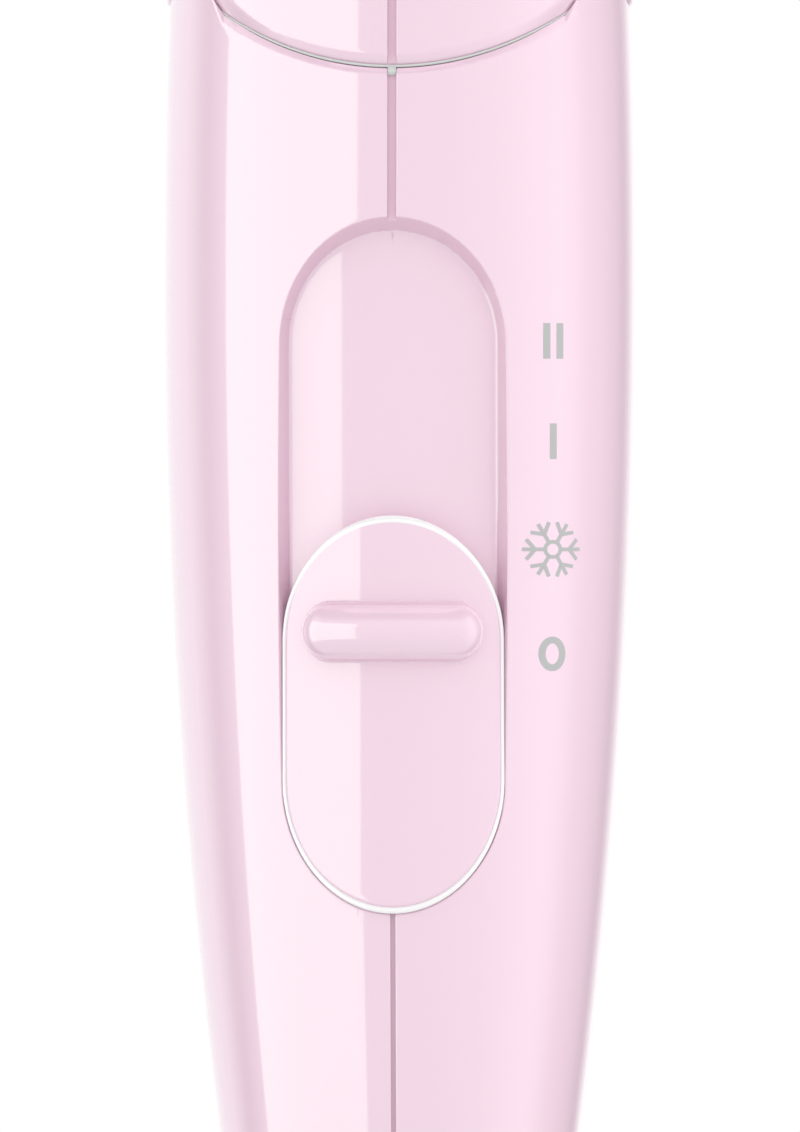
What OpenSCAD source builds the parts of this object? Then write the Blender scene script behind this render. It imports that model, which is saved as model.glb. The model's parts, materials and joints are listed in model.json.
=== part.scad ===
// Compact folding hair dryer.
// Frame: +Z runs up the handle, +Y is the way the air leaves, X is across.
// The origin is the centre of the cord gland's mouth, in the handle's foot.

/* [Handle] */
// Diameter of the handle where it is widest
handle_d = 40; // [38:0.5:42]
// Height of the widest place above the gland's mouth
widest_z = 97; // [94:1:100]
// Radius of the long curve of the handle's flanks
flank_r = 567; // [540:1:620]
// Wall of the moulded shells
wall = 2.2; // [1.8:0.1:2.4]

/* [Fold] */
// Height of the pins that the barrel folds on
hinge_z = 126; // [125:0.5:128]
// Height of the lowest point of the curved joint line between neck and handle
joint_line_z = 115.1; // [113.5:0.1:116]
// Radius of the curved joint line, seen from behind
joint_line_r = 23.1; // [22:0.1:26]
// Radius of the hinge pins
pin_r = 3; // [2.5:0.1:3.5]

/* [Switch] */
// Lean of the slider's track from the handle's axis, in degrees
track_tilt = 2.5; // [2:0.1:3]
// Travel of the slider from off to full power, in steps of a third
slider_travel = 24; // [18:0.5:24]
// Width of the slider's cap
slider_w = 18.9; // [17.5:0.1:19.2]
// Length of the slider's cap
slider_l = 32.9; // [32:0.1:34]

/* [Barrel] */
// Height of the barrel's axis
barrel_z = 180.5; // [180:0.5:190]
// Largest diameter of the barrel
barrel_d = 66; // [62:0.5:66]
// Distance from the pins to the barrel's back
barrel_back = 44; // [42:0.5:46]
// Distance from the pins to the front edge of the barrel's shells
barrel_front = 78; // [76:0.5:80]
// Outer diameter of the outlet collar that the nozzle turns on
collar_d = 45.2; // [44:0.1:46]

/* [Nozzle] */
// Width of the nozzle's flat mouth
mouth_w = 62; // [56:1:66]
// Height of the nozzle's flat mouth
mouth_h = 10; // [9:0.5:12]
// Distance from the pins to the nozzle's mouth
mouth_y = 121; // [116:0.5:122]

/* [Cord] */
// Radius of the hole that the cord comes out of
cord_hole_r = 3.6; // [3.2:0.1:4]
// Radius of the hole in the hanging loop
loop_hole_r = 5; // [4.5:0.1:5.5]

/* [Hidden] */
$fn = 96;
FINE = 720;
SMALL = 32;
PINK = [0.96, 0.86, 0.91];
PALE = [0.93, 0.91, 0.92];
DARK = [0.25, 0.25, 0.27];
STEEL = [0.72, 0.73, 0.75];
BRASS = [0.8, 0.65, 0.35];
MICA = [0.78, 0.72, 0.6];
eps = 0.01;
far = 300;
screw_r = 1.3;
screw_head_r = 2.6;
screw_head_l = 2;
screw_slot_w = 0.6;
screw_slot_l = 3.4;

// handle
handle_r = handle_d / 2;
foot_z = 3;
foot_round = 6;
cavity_top = hinge_z - 25.2;
cavity_foot = foot_z + 4;

wire_hole_r = 4;
block_side = 2.1;
block_half_depth = 8;
block_below = 13;
block_above = 27;

// screws of the halves, as distance forward and height
screw_places = [[9, 34], [9.5, 92]];
boss_r = 4;
boss_end = 12;
screw_recess_r = 3;
screw_seat_x = 9;

// cord clamp and gland
clamp_z = 22;
clamp_y = 0.6;
clamp_t = 5;
clamp_half_w = 9;
clamp_hole_r = 3.4;
clamp_rib_t = 6;
clamp_screw_x = 6.5;
clamp_screw_r = 1.2;
clamp_screw_depth = 8;
gland_r = 5.6;
gland_l = 11;
gland_mouth_r = 7.4;
gland_mouth_bevel = 1;
gland_ring = [7.2, 5, 5, 6.6];

// hanging loop, at the foot's back
loop_y = 22;
loop_z = 8;
loop_t = 3.2;
loop_rim = 2.6;
loop_tongue_low = 1.2;
loop_tongue_end = 7.4;
loop_slot_end = 17.4;
loop_slot_low = 1;

// shadow line along the seam of the halves, wider above the slider's pocket
seam_depth = 0.5;
seam_half = 0.2;
seam_wide_half = 0.37;

// fold: the neck is a knuckle between two ears
knuckle_half = 15.5;
ear_gap = 0.15;
joint_gap = 0.35;
ear_r = 12.2;
sweep_r = handle_r + 0.3;
pin_inner_x = 9.5;
pin_outer_x = 17.2;
cap_r = 6.6;
cap_rise = 0.3;
cap_l = 10;
cap_play = 0.1;

// switch: the track's own frame has its floor line at y = 0
track_z = 70;
floor_depth = 2.8;
floor_r = 30;
floor_wall = 1.8;
pocket_half = 9.5;
pocket_low = 53.6;
pocket_high = 90.8;
pocket_draft = 0.6;
slider_gap = 0.35;
slider_low = 43.6;
slider_rise = 2.45;
slider_back_r = 18.6;
slot_w = 4.4;
slot_low = 45;
stem_l = 4;
stem_play = 1.3;
stem_low = slot_low + stem_play;
slot_high = stem_low + stem_l + slider_travel + stem_play;
shutter_y = floor_wall + 0.3;
shutter_t = 1;
shutter_w = 6;
stem_w = 3.8;
block_w = 10;
block_t = 2.2;
switch_y = 7.4;
switch_t = 9;
switch_w = 15;
switch_low = slot_low - 6;
switch_l = slider_travel + 18;
switch_mouth_w = 8.4;
switch_rib_t = 2;
detent_t = 0.5;
grip_z = 66.6;
grip_w = 15.3;
grip_r = 2.55;
grip_rise = 2;
grip_root = 0.8;

// barrel, measured along its axis
barrel_r = barrel_d / 2;
barrel_flank_r = 576;
barrel_wide_y = -12;
back_round = 8;
inlet_r = 24;
collar_r = collar_d / 2;
collar_end = barrel_front + 13;
collar_back = barrel_front - 12;
barrel_screw_drop = 25.4;
barrel_screw_y = [22, 46];
barrel_screw_l = 16;
barrel_screw_seat = 8;
barrel_boss_r = 3;
neck_flare_r = 16;
neck_flare_z = 139;
neck_top_r = 23;
neck_low = hinge_z - 25;
neck_high = barrel_z - 12;
passage_r = 6;

// nozzle
nozzle_gap = 0.3;
nozzle_wall = 1.6;
nozzle_start = barrel_front + 0.8;
nozzle_socket = collar_end + 1.2;

// air path inside the barrel
duct_r = 28.6;
duct_wall = 1.5;
duct_back = -30;
duct_front = 10;
sleeve_r = 22.1;
sleeve_wall = 0.5;
heater_back = 16;
heater_front = barrel_front - 12;
heater_half = sleeve_r - sleeve_wall - 0.02;
coil_r = 1.3;
coil_ring_r = heater_half - 4.2;
coil_pitch = 6.6;
motor_r = 11.8;
motor_back = -12;
motor_front = 13;
shaft_r = 1.15;
fan_r = 26;
fan_hub_r = 8.5;
fan_back = -27;
fan_front = -15;

// ---- shared forms ----------------------------------------------------------

// half width of the handle at a height
function flank(z) = handle_r - flank_r + sqrt(pow(flank_r, 2) - pow(z - widest_z, 2));

// height of the curved joint line at a distance from the middle
function joint_z(x) = joint_line_z + joint_line_r - sqrt(pow(joint_line_r, 2) - pow(x, 2));

// radius of the knuckle about the pins, so that it meets the handle's back at the joint line
function knuckle_r(x) = sqrt(pow(hinge_z - joint_z(x), 2) + pow(flank(joint_z(x)), 2) - pow(x, 2));

// radius of the barrel's shells at a distance forward
function barrel_at(y) = barrel_r - barrel_flank_r
    + sqrt(pow(barrel_flank_r, 2) - pow(y - barrel_wide_y, 2));

// half space on one side of the seam: side is -1 for left, 1 for right
module half(side) {
    translate([side * far / 2, 0, 0])
        cube([far, 2 * far, 2 * far], center = true);
}

// things built around the barrel's axis, with z for the distance forward
module on_barrel() {
    translate([0, 0, barrel_z])
        rotate([-90, 0, 0])
            children();
}

// things built around the hinge's axis, with z for the distance across
module on_hinge() {
    translate([0, 0, hinge_z])
        rotate([0, 90, 0])
            children();
}

// things built on the slider's track
module on_track() {
    translate([0, floor_depth - flank(track_z), track_z])
        rotate([track_tilt, 0, 0])
            translate([0, 0, -track_z])
                children();
}

module ring(outer, inner, low, high) {
    translate([0, 0, low])
        difference() {
            cylinder(r = outer, h = high - low);
            translate([0, 0, -1])
                cylinder(r = inner, h = high - low + 2);
        }
}

// cross-head screw along the turned axis, its head's underside a distance before the middle
module screw(l, back) {
    translate([0, 0, -back])
        cylinder(r = screw_r, h = l, $fn = SMALL);
    translate([0, 0, -back - screw_head_l])
        difference() {
            cylinder(r = screw_head_r, h = screw_head_l, $fn = SMALL);
            cube([screw_slot_w, screw_slot_l, screw_head_l - 0.4], center = true);
            cube([screw_slot_l, screw_slot_w, screw_head_l - 0.4], center = true);
        }
}

// the handle's turned outline, set in by an amount, between two heights
module flank_outline(inset, low, high) {
    intersection() {
        translate([handle_r - flank_r, widest_z])
            circle(r = flank_r - inset, $fn = FINE);
        translate([0, low])
            square([handle_r + 5, high - low]);
    }
}

module handle_solid(high) {
    shoulder = foot_z + foot_round;
    lean = asin((widest_z - shoulder) / (flank_r - foot_round));
    round_x = handle_r - flank_r + (flank_r - foot_round) * cos(lean) + 0.03;
    meet_z = widest_z - flank_r * sin(lean);
    rotate_extrude()
        intersection() {
            flank_outline(0, foot_z, high);
            union() {
                translate([0, meet_z])
                    square([handle_r + 5, high - meet_z]);
                translate([round_x, shoulder])
                    circle(r = foot_round);
                translate([0, foot_z])
                    square([round_x, foot_round]);
            }
        }
}

// the round knuckle at the neck's foot, grown by a gap
module knuckle(grow, half_w) {
    steps = 14;
    on_hinge()
        rotate_extrude()
            polygon([
                [0, -half_w],
                for (i = [0 : steps])
                    let (x = -half_w + 2 * half_w * i / steps)
                        [knuckle_r(min(abs(x), knuckle_half)) + grow, x],
                [0, half_w]]);
}

// what the neck needs free between the ears, over the whole fold
module neck_room() {
    room = knuckle_half + ear_gap;
    knuckle(joint_gap, room);
    translate([-room, -handle_r - 5, hinge_z])
        cube([2 * room, handle_d + 10, 60]);
    intersection() {
        translate([0, 0, hinge_z])
            rotate([-90, 0, 0])
                cylinder(r = sweep_r, h = handle_r + 5);
        translate([-room, 0, hinge_z - 40])
            cube([2 * room, handle_d, 60]);
    }
}

// a stadium whose walls open outwards, on the track
module track_stadium(half_w, low, high) {
    out = 6;
    in = 4;
    r_out = half_w + pocket_draft * out;
    r_in = half_w - pocket_draft * in;
    for (z = [low, high])
        translate([0, -out, z])
            rotate([-90, 0, 0])
                cylinder(r1 = r_out, r2 = r_in, h = out + in);
    translate([0, 0, low])
        linear_extrude(high - low)
            polygon([[-r_out, -out], [r_out, -out], [r_in, in], [-r_in, in]]);
}

// the round back of the pocket's floor, moved outwards by an amount
module track_floor(grow) {
    translate([0, floor_r, 0])
        cylinder(r = floor_r + grow, h = 140, $fn = 180);
}

// ---- handle ----------------------------------------------------------------

module handle_form() {
    difference() {
        intersection() {
            handle_solid(hinge_z + ear_r + 1);
            union() {
                translate([-handle_d, -handle_d, 0])
                    cube([2 * handle_d, 2 * handle_d, hinge_z]);
                on_hinge()
                    cylinder(r = ear_r, h = 2 * handle_d, center = true);
            }
        }
        neck_room();
    }
}

module handle_cavity() {
    difference() {
        rotate_extrude()
            flank_outline(wall, cavity_foot, cavity_top);
        on_track()
            difference() {
                translate([-pocket_half - block_side, -block_half_depth, pocket_low - block_below])
                    cube([2 * (pocket_half + block_side), 2 * block_half_depth,
                        pocket_high - pocket_low + block_below + block_above]);
                track_floor(-floor_wall);
            }
    }
    translate([0, 0, cavity_top - 1])
        cylinder(r = wire_hole_r, h = 6);
}

module slider_pocket() {
    on_track() {
        difference() {
            track_stadium(pocket_half, pocket_low, pocket_high);
            track_floor(0);
        }
        for (z = [slot_low + slot_w / 2, slot_high - slot_w / 2])
            translate([0, -2, z])
                rotate([-90, 0, 0])
                    cylinder(r = slot_w / 2, h = 5, $fn = SMALL);
        translate([-slot_w / 2, -2, slot_low + slot_w / 2])
            cube([slot_w, 5, slot_high - slot_low - slot_w]);
    }
}

module screw_bosses() {
    for (p = screw_places)
        translate([-handle_r, p[0], p[1]])
            rotate([0, 90, 0])
                cylinder(r = boss_r, h = handle_r + boss_end, $fn = SMALL);
}

module clamp_ribs() {
    difference() {
        translate([-handle_r, clamp_y, clamp_z - clamp_rib_t / 2])
            cube([handle_d, handle_r, clamp_rib_t]);
        cylinder(r = clamp_hole_r, h = 2 * clamp_z);
    }
}

// shelves that the switch's body is held between
module switch_ribs() {
    on_track()
        for (z = [switch_low - switch_rib_t, switch_low + switch_l])
            difference() {
                translate([-handle_r, switch_y + 1.5, z])
                    cube([handle_d, handle_d, switch_rib_t]);
                translate([0, switch_y + switch_t + 5, z - 1])
                    cylinder(r = wire_hole_r, h = switch_rib_t + 2, $fn = SMALL);
            }
}

module handle_seam() {
    difference() {
        union() {
            translate([-seam_half, -handle_r - 1, foot_z])
                cube([2 * seam_half, handle_d + 2, hinge_z - foot_z]);
            translate([-seam_wide_half, -handle_r - 1, pocket_high])
                cube([2 * seam_wide_half, handle_r, hinge_z - pocket_high]);
        }
        rotate_extrude()
            flank_outline(seam_depth, 0, hinge_z + 1);
    }
}

module handle_shell(side) {
    color(PINK)
        intersection() {
            half(side);
            difference() {
                handle_form();
                handle_seam();
                difference() {
                    handle_cavity();
                    screw_bosses();
                    clamp_ribs();
                    switch_ribs();
                }
                slider_pocket();
                // gland seat
                translate([0, 0, -1])
                    cylinder(r = gland_r, h = gland_l + 1);
                gland_flange();
                // screws of the two halves
                for (p = screw_places)
                    translate([0, p[0], p[1]]) {
                        rotate([0, 90, 0])
                            cylinder(r = screw_r, h = 2 * screw_seat_x + 2, center = true, $fn = SMALL);
                        translate([-handle_r - 1, 0, 0])
                            rotate([0, 90, 0])
                                cylinder(r = screw_recess_r, h = handle_r + 1 - screw_seat_x, $fn = SMALL);
                    }
                // screws of the cord clamp
                for (x = [-clamp_screw_x, clamp_screw_x])
                    translate([x, 0, clamp_z])
                        rotate([-90, 0, 0])
                            cylinder(r = clamp_screw_r, h = clamp_screw_depth, $fn = SMALL);
                // slot of the hanging loop
                translate([-loop_t / 2, -loop_slot_end, loop_slot_low])
                    cube([loop_t, loop_slot_end - loop_tongue_end, loop_z - loop_slot_low]);
                // pins and their caps
                on_hinge() {
                    cylinder(r = pin_r, h = 2 * handle_d, center = true);
                    for (s = [-1, 1])
                        translate([0, 0, s * (pin_outer_x + cap_l / 2)])
                            cylinder(r = cap_r, h = cap_l, center = true);
                }
            }
        }
}

module handle_shell_left() { handle_shell(-1); }
module handle_shell_right() { handle_shell(1); }

module hinge_pins() {
    color(STEEL)
        on_hinge()
            for (s = [-1, 1])
                translate([0, 0, s * (pin_inner_x + pin_outer_x) / 2])
                    cylinder(r = pin_r, h = pin_outer_x - pin_inner_x, center = true);
}

module hinge_caps() {
    reach = cap_r + 3.4;
    color(PINK)
        intersection() {
            translate([0, 0, hinge_z - reach])
                cylinder(r1 = flank(hinge_z - reach) + cap_rise, r2 = flank(hinge_z + reach) + cap_rise,
                    h = 2 * reach);
            on_hinge()
                for (s = [-1, 1])
                    translate([0, 0, s * (pin_outer_x + cap_l / 2)])
                        cylinder(r = cap_r - cap_play, h = cap_l, center = true);
        }
}

module handle_screws() {
    color(STEEL)
        for (p = screw_places)
            translate([0, p[0], p[1]])
                rotate([0, 90, 0])
                    screw(2 * screw_seat_x, screw_seat_x);
}

// flange that the shells grip the gland by
module gland_flange() {
    ring(gland_ring[0], gland_ring[1], gland_ring[2], gland_ring[3]);
}

module cord_gland() {
    color(PALE)
        difference() {
            union() {
                rotate_extrude()
                    polygon([
                        [0, 0], [gland_mouth_r - gland_mouth_bevel, 0], [gland_mouth_r, gland_mouth_bevel],
                        [gland_mouth_r, foot_z], [0, foot_z]]);
                cylinder(r = gland_r, h = gland_l);
                gland_flange();
            }
            translate([0, 0, -1])
                cylinder(r = cord_hole_r, h = gland_l + 2);
        }
}

module cord_clamp() {
    color(PALE)
        difference() {
            translate([-clamp_half_w, clamp_y - clamp_t, clamp_z - clamp_t / 2])
                cube([2 * clamp_half_w, clamp_t, clamp_t]);
            cylinder(r = clamp_hole_r, h = 2 * clamp_z);
            for (x = [-clamp_screw_x, clamp_screw_x])
                translate([x, clamp_y - 8, clamp_z])
                    rotate([-90, 0, 0])
                        cylinder(r = clamp_screw_r, h = 10, $fn = SMALL);
        }
}

module cord_clamp_screws() {
    head = 1.6;
    color(STEEL)
        for (x = [-clamp_screw_x, clamp_screw_x])
            translate([x, clamp_y - clamp_t - head, clamp_z])
                rotate([-90, 0, 0]) {
                    cylinder(r = clamp_screw_r, h = head + clamp_t - clamp_y + clamp_screw_depth - 0.4,
                        $fn = SMALL);
                    cylinder(r = 2.2, h = head, $fn = SMALL);
                }
}

// a flat loop at the foot's back, held between the shells, clear of the folded nozzle
module hanging_loop() {
    color(PALE)
        translate([-loop_t / 2, 0, 0])
            rotate([90, 0, 90])
                linear_extrude(loop_t)
                    difference() {
                        union() {
                            translate([2 - loop_y, loop_tongue_low])
                                square([loop_y - 2 - loop_tongue_end, loop_z - loop_tongue_low]);
                            translate([-loop_y, loop_z])
                                circle(r = loop_hole_r + loop_rim);
                        }
                        translate([-loop_y, loop_z])
                            circle(r = loop_hole_r);
                    }
}

// ---- switch ----------------------------------------------------------------

module slider_cap() {
    half_w = slider_w / 2 - 0.15;
    color(PINK) {
        on_track()
            difference() {
                intersection() {
                    track_stadium(half_w, slider_low + half_w + 1.1, slider_low + slider_l - half_w - 1.4);
                    translate([0, slider_back_r - slider_rise, slider_low - 5])
                        cylinder(r = slider_back_r, h = slider_l + 10, $fn = 180);
                }
                track_floor(slider_gap);
            }
        // raised bar under the thumb
        difference() {
            translate([0, 0, grip_z]) {
                reach = flank(grip_z) + grip_rise - grip_r;
                half_angle = asin((grip_w / 2 - grip_r) / reach);
                rotate([0, 0, -90 - half_angle])
                    rotate_extrude(angle = 2 * half_angle)
                        translate([reach, 0])
                            circle(r = grip_r);
                for (s = [-1, 1])
                    rotate([0, 0, -90 + s * half_angle])
                        translate([reach, 0, 0])
                            sphere(r = grip_r + eps);
            }
            translate([0, 0, grip_z - 10])
                cylinder(r = flank(grip_z) - grip_root, h = 20);
        }
        // stem through the slot
        on_track()
            translate([-stem_w / 2, -grip_root, stem_low])
                cube([stem_w, grip_root + shutter_y, stem_l]);
    }
}

module slider_carriage() {
    color(PALE)
        on_track() {
            translate([-shutter_w / 2, shutter_y, slot_low - slider_travel + 0.8])
                cube([shutter_w, shutter_t, slider_travel + stem_l + 5]);
            translate([-block_w / 2, shutter_y + shutter_t, stem_low - 1.5])
                cube([block_w, block_t, stem_l + 3]);
            for (s = [-1, 1])
                translate([s * 2.4 - 0.9, shutter_y + shutter_t + block_t, stem_low])
                    cube([1.8, 4.4, stem_l]);
        }
}

module switch_body() {
    color(DARK)
        on_track()
            difference() {
                translate([-switch_w / 2, switch_y, switch_low])
                    cube([switch_w, switch_t, switch_l]);
                translate([-switch_mouth_w / 2, switch_y - 1, slot_low])
                    cube([switch_mouth_w, 4, slot_high - slot_low]);
            }
}

module switch_contacts() {
    color(BRASS)
        on_track()
            for (i = [0 : 3])
                translate([-2.4, switch_y + switch_t, slot_low + slider_travel / 3 * i]) {
                    cube([4.8, 4.5, 0.8]);
                    translate([0, 0, -1])
                        cube([4.8, 0.6, 2.8]);
                }
}

module detent_spring() {
    color(STEEL)
        on_track()
            translate([switch_w / 2, switch_y + 1, slot_low - 2])
                difference() {
                    union() {
                        cube([detent_t, 4, slider_travel + 8]);
                        for (i = [0 : 3])
                            translate([detent_t, 0, 4 + slider_travel / 3 * i])
                                rotate([-90, 0, 0])
                                    cylinder(r = 0.9, h = 4, $fn = SMALL);
                    }
                    translate([-2, -1, -1])
                        cube([2, 6, slider_travel + 10]);
                }
}

// ---- barrel ----------------------------------------------------------------

module barrel_outline(inset) {
    intersection() {
        translate([barrel_r - barrel_flank_r, barrel_wide_y])
            circle(r = barrel_flank_r - inset, $fn = FINE);
        union() {
            translate([0, back_round - barrel_back])
                square([barrel_r, barrel_front + barrel_back - back_round - inset]);
            intersection() {
                translate([barrel_r - 0.5 - back_round, back_round - barrel_back])
                    circle(r = back_round - inset);
                translate([0, -barrel_back])
                    square([barrel_r, back_round]);
            }
            translate([0, inset - barrel_back])
                square([barrel_r - 0.5 - back_round, back_round - inset]);
        }
    }
}

module neck_turned(inset) {
    rotate_extrude() {
        flank_outline(inset, neck_low, neck_flare_z);
        difference() {
            translate([0, neck_flare_z])
                square([neck_top_r, neck_high - neck_flare_z]);
            translate([flank(neck_flare_z) + neck_flare_r, neck_flare_z])
                circle(r = neck_flare_r + inset);
        }
    }
}

module barrel_seam() {
    difference() {
        union() {
            translate([-seam_wide_half, -barrel_back - 1, hinge_z - 20])
                cube([2 * seam_wide_half, barrel_back + barrel_front + 2, barrel_z - hinge_z + 20]);
            translate([-seam_half, -barrel_back - 1, barrel_z])
                cube([2 * seam_half, barrel_back + barrel_front + 2, barrel_d]);
        }
        on_barrel()
            rotate_extrude()
                barrel_outline(seam_depth);
        neck_turned(seam_depth);
    }
}

module neck_solid() {
    intersection() {
        neck_turned(0);
        union() {
            knuckle(0, knuckle_half);
            translate([-knuckle_half, -handle_d, hinge_z])
                cube([2 * knuckle_half, 2 * handle_d, neck_high - hinge_z + 1]);
            // shoulders over the ears
            difference() {
                translate([-handle_d, -handle_d, hinge_z])
                    cube([2 * handle_d, 2 * handle_d, neck_high - hinge_z + 1]);
                on_hinge()
                    cylinder(r = ear_r + joint_gap, h = 3 * handle_d, center = true);
                translate([-handle_d - 1, 0, hinge_z - 1])
                    cube([2 * handle_d + 2, handle_d + 1, ear_r + joint_gap + 1]);
            }
        }
    }
}

// places of the screws that join the barrel's halves
module at_barrel_screws() {
    for (y = barrel_screw_y)
        translate([0, y, barrel_z - barrel_screw_drop])
            rotate([0, 90, 0])
                children();
}

module barrel_shell(side) {
    color(PINK)
        intersection() {
            half(side);
            difference() {
                union() {
                    on_barrel()
                        rotate_extrude()
                            barrel_outline(0);
                    neck_solid();
                }
                difference() {
                    on_barrel()
                        rotate_extrude()
                            barrel_outline(wall);
                    at_barrel_screws()
                        cylinder(r = barrel_boss_r, h = 3 * barrel_screw_seat, center = true, $fn = SMALL);
                }
                barrel_seam();
                at_barrel_screws() {
                    cylinder(r = screw_r, h = barrel_screw_l + 2, center = true, $fn = SMALL);
                    translate([0, 0, -barrel_r])
                        cylinder(r = screw_recess_r - 0.1, h = barrel_r - barrel_screw_seat, $fn = SMALL);
                }
                on_barrel() {
                    translate([0, 0, -barrel_back - 1])
                        cylinder(r = inlet_r, h = 10);
                    translate([0, 0, barrel_front - 10])
                        cylinder(r = collar_r + 0.1, h = 20);
                }
                translate([0, 0, neck_low - 5])
                    cylinder(r = passage_r, h = neck_high - neck_low, $fn = SMALL);
                on_hinge()
                    for (s = [-1, 1])
                        translate([0, 0, s * 20])
                            cylinder(r = pin_r + 0.05, h = 22, center = true);
            }
        }
}

module barrel_shell_left() { barrel_shell(-1); }
module barrel_shell_right() { barrel_shell(1); }

module barrel_screws() {
    color(STEEL)
        at_barrel_screws()
            screw(barrel_screw_l, barrel_screw_seat);
}

// round slots between rings, held by spokes
module inlet_grille() {
    dome_r = 60;
    color(PINK)
        on_barrel() {
            ring(inlet_r - 0.05, inlet_r - 2.4, -barrel_back - 0.6, wall - barrel_back);
            intersection() {
                translate([0, 0, dome_r - barrel_back - 4.4])
                    difference() {
                        sphere(r = dome_r);
                        sphere(r = dome_r - 1.8);
                    }
                translate([0, 0, -barrel_back - 5]) {
                    for (r = [4.6 : 3.6 : 19])
                        ring(r, r - 1.5, 0, 12);
                    cylinder(r = 2.2, h = 12);
                    for (a = [0 : 60 : 300])
                        rotate([0, 0, a])
                            translate([0, -0.75, 0])
                                cube([inlet_r - 1, 1.5, 12]);
                }
            }
        }
}

module inlet_filter() {
    color(DARK)
        on_barrel()
            translate([0, 0, wall - barrel_back]) {
                ring(inlet_r + 0.5, inlet_r - 2, 0, 1.2);
                intersection() {
                    translate([0, 0, 0.4])
                        cylinder(r = inlet_r - 1.9, h = 0.5);
                    for (i = [-3 : 3]) {
                        translate([6.4 * i - 0.3, -30, 0])
                            cube([0.6, 60, 1.2]);
                        translate([-30, 6.4 * i - 0.3, 0])
                            cube([60, 0.6, 1.2]);
                    }
                }
            }
}

module outlet_collar() {
    flange_front = barrel_front - wall;
    flange_r = barrel_at(flange_front) - wall - 0.1;
    color(PALE)
        on_barrel()
            rotate_extrude()
                polygon([
                    [collar_r - 2, collar_back], [flange_r, collar_back],
                    [flange_r, flange_front], [collar_r, flange_front],
                    [collar_r, collar_end - 0.8], [collar_r - 0.8, collar_end],
                    [collar_r - 2, collar_end]]);
}

module outlet_grille() {
    color(DARK)
        on_barrel()
            translate([0, 0, collar_end - 7]) {
                ring(collar_r - 2, collar_r - 3.2, 0, 2.4);
                for (r = [6, 11, 16])
                    ring(r, r - 1, 0, 2);
                for (a = [0 : 60 : 300])
                    rotate([0, 0, a])
                        translate([5.5, -0.5, 0])
                            cube([collar_r - 8, 1, 1.6]);
            }
}

module heat_sleeve() {
    color(MICA)
        on_barrel()
            ring(sleeve_r, sleeve_r - sleeve_wall, duct_front, collar_back);
}

// crossed sheets with notches that hold the coils
module coil_rings() {
    for (i = [0 : 6])
        translate([0, 0, heater_back + 5 + coil_pitch * i])
            rotate_extrude()
                translate([coil_ring_r, 0])
                    circle(r = coil_r, $fn = SMALL);
}

module heater_frame() {
    color(MICA)
        on_barrel()
            difference() {
                union()
                    for (a = [0, 90])
                        rotate([0, 0, a])
                            translate([-heater_half, -0.4, heater_back])
                                cube([2 * heater_half, 0.8, heater_front - heater_back]);
                coil_rings();
            }
}

module heater_coils() {
    color([0.55, 0.5, 0.47])
        on_barrel()
            coil_rings();
}

module thermostat() {
    color(DARK)
        on_barrel()
            translate([8.5, 0.4, heater_front - 8])
                rotate([-90, 0, 0]) {
                    cylinder(r = 4.5, h = 3.6, $fn = SMALL);
                    translate([0, 0, 3.6])
                        cylinder(r = 3, h = 0.6, $fn = SMALL);
                    translate([-1.4, -7.5, 0])
                        cube([2.8, 15, 0.6]);
                }
}

module thermal_fuse() {
    color(STEEL)
        on_barrel()
            translate([-9, 2.4, heater_front - 20]) {
                cylinder(r = 2, h = 11, $fn = SMALL);
                translate([0, 0, -4])
                    cylinder(r = 0.5, h = 19, $fn = 16);
            }
}

// shroud round the fan, with the still vanes that carry the motor
module fan_duct() {
    throat = sleeve_r + 0.02;
    flange_r = barrel_at(duct_back) - wall - 0.05;
    color(DARK)
        on_barrel()
            union() {
                rotate_extrude()
                    polygon([
                        [duct_r - duct_wall, duct_back], [flange_r, duct_back], [flange_r, duct_back + 1.6],
                        [duct_r, duct_back + 1.6], [duct_r, -6],
                        [throat + duct_wall, duct_front - 6], [throat + duct_wall, duct_front + 3],
                        [throat, duct_front + 3], [throat, duct_front - 5.4],
                        [duct_r - duct_wall, -6.6]]);
                ring(motor_r + 1.6, motor_r + 0.05, motor_back + 1, duct_front - 2);
                intersection() {
                    for (i = [0 : 6])
                        rotate([0, 0, i * 360 / 7])
                            translate([motor_r + 0.8, -0.6, motor_back + 1.5])
                                cube([duct_r, 1.2, duct_front - motor_back - 4]);
                    rotate_extrude()
                        polygon([
                            [0, duct_back], [duct_r - 0.8, duct_back], [duct_r - 0.8, -6.3],
                            [throat + 0.8, duct_front - 5.7], [throat + 0.8, duct_front], [0, duct_front]]);
                }
            }
}

module motor_can() {
    color(STEEL)
        on_barrel()
            difference() {
                union() {
                    translate([0, 0, motor_back])
                        cylinder(r = motor_r, h = motor_front - motor_back);
                    translate([0, 0, motor_back - 1.4])
                        cylinder(r = 4, h = 2);
                }
                translate([0, 0, motor_back - 3])
                    cylinder(r = shaft_r + 0.05, h = 20, $fn = SMALL);
            }
}

module diode_board() {
    color([0.2, 0.42, 0.28])
        on_barrel()
            translate([0, 0, motor_front]) {
                cylinder(r = motor_r - 0.5, h = 1.4);
                for (s = [-1, 1])
                    translate([s * 5 - 1.2, -3, 1.4])
                        cube([2.4, 6, 1.4]);
            }
}

module motor_shaft() {
    color(STEEL)
        on_barrel()
            translate([0, 0, fan_back + 1])
                cylinder(r = shaft_r, h = motor_back + 14 - fan_back, $fn = SMALL);
}

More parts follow.
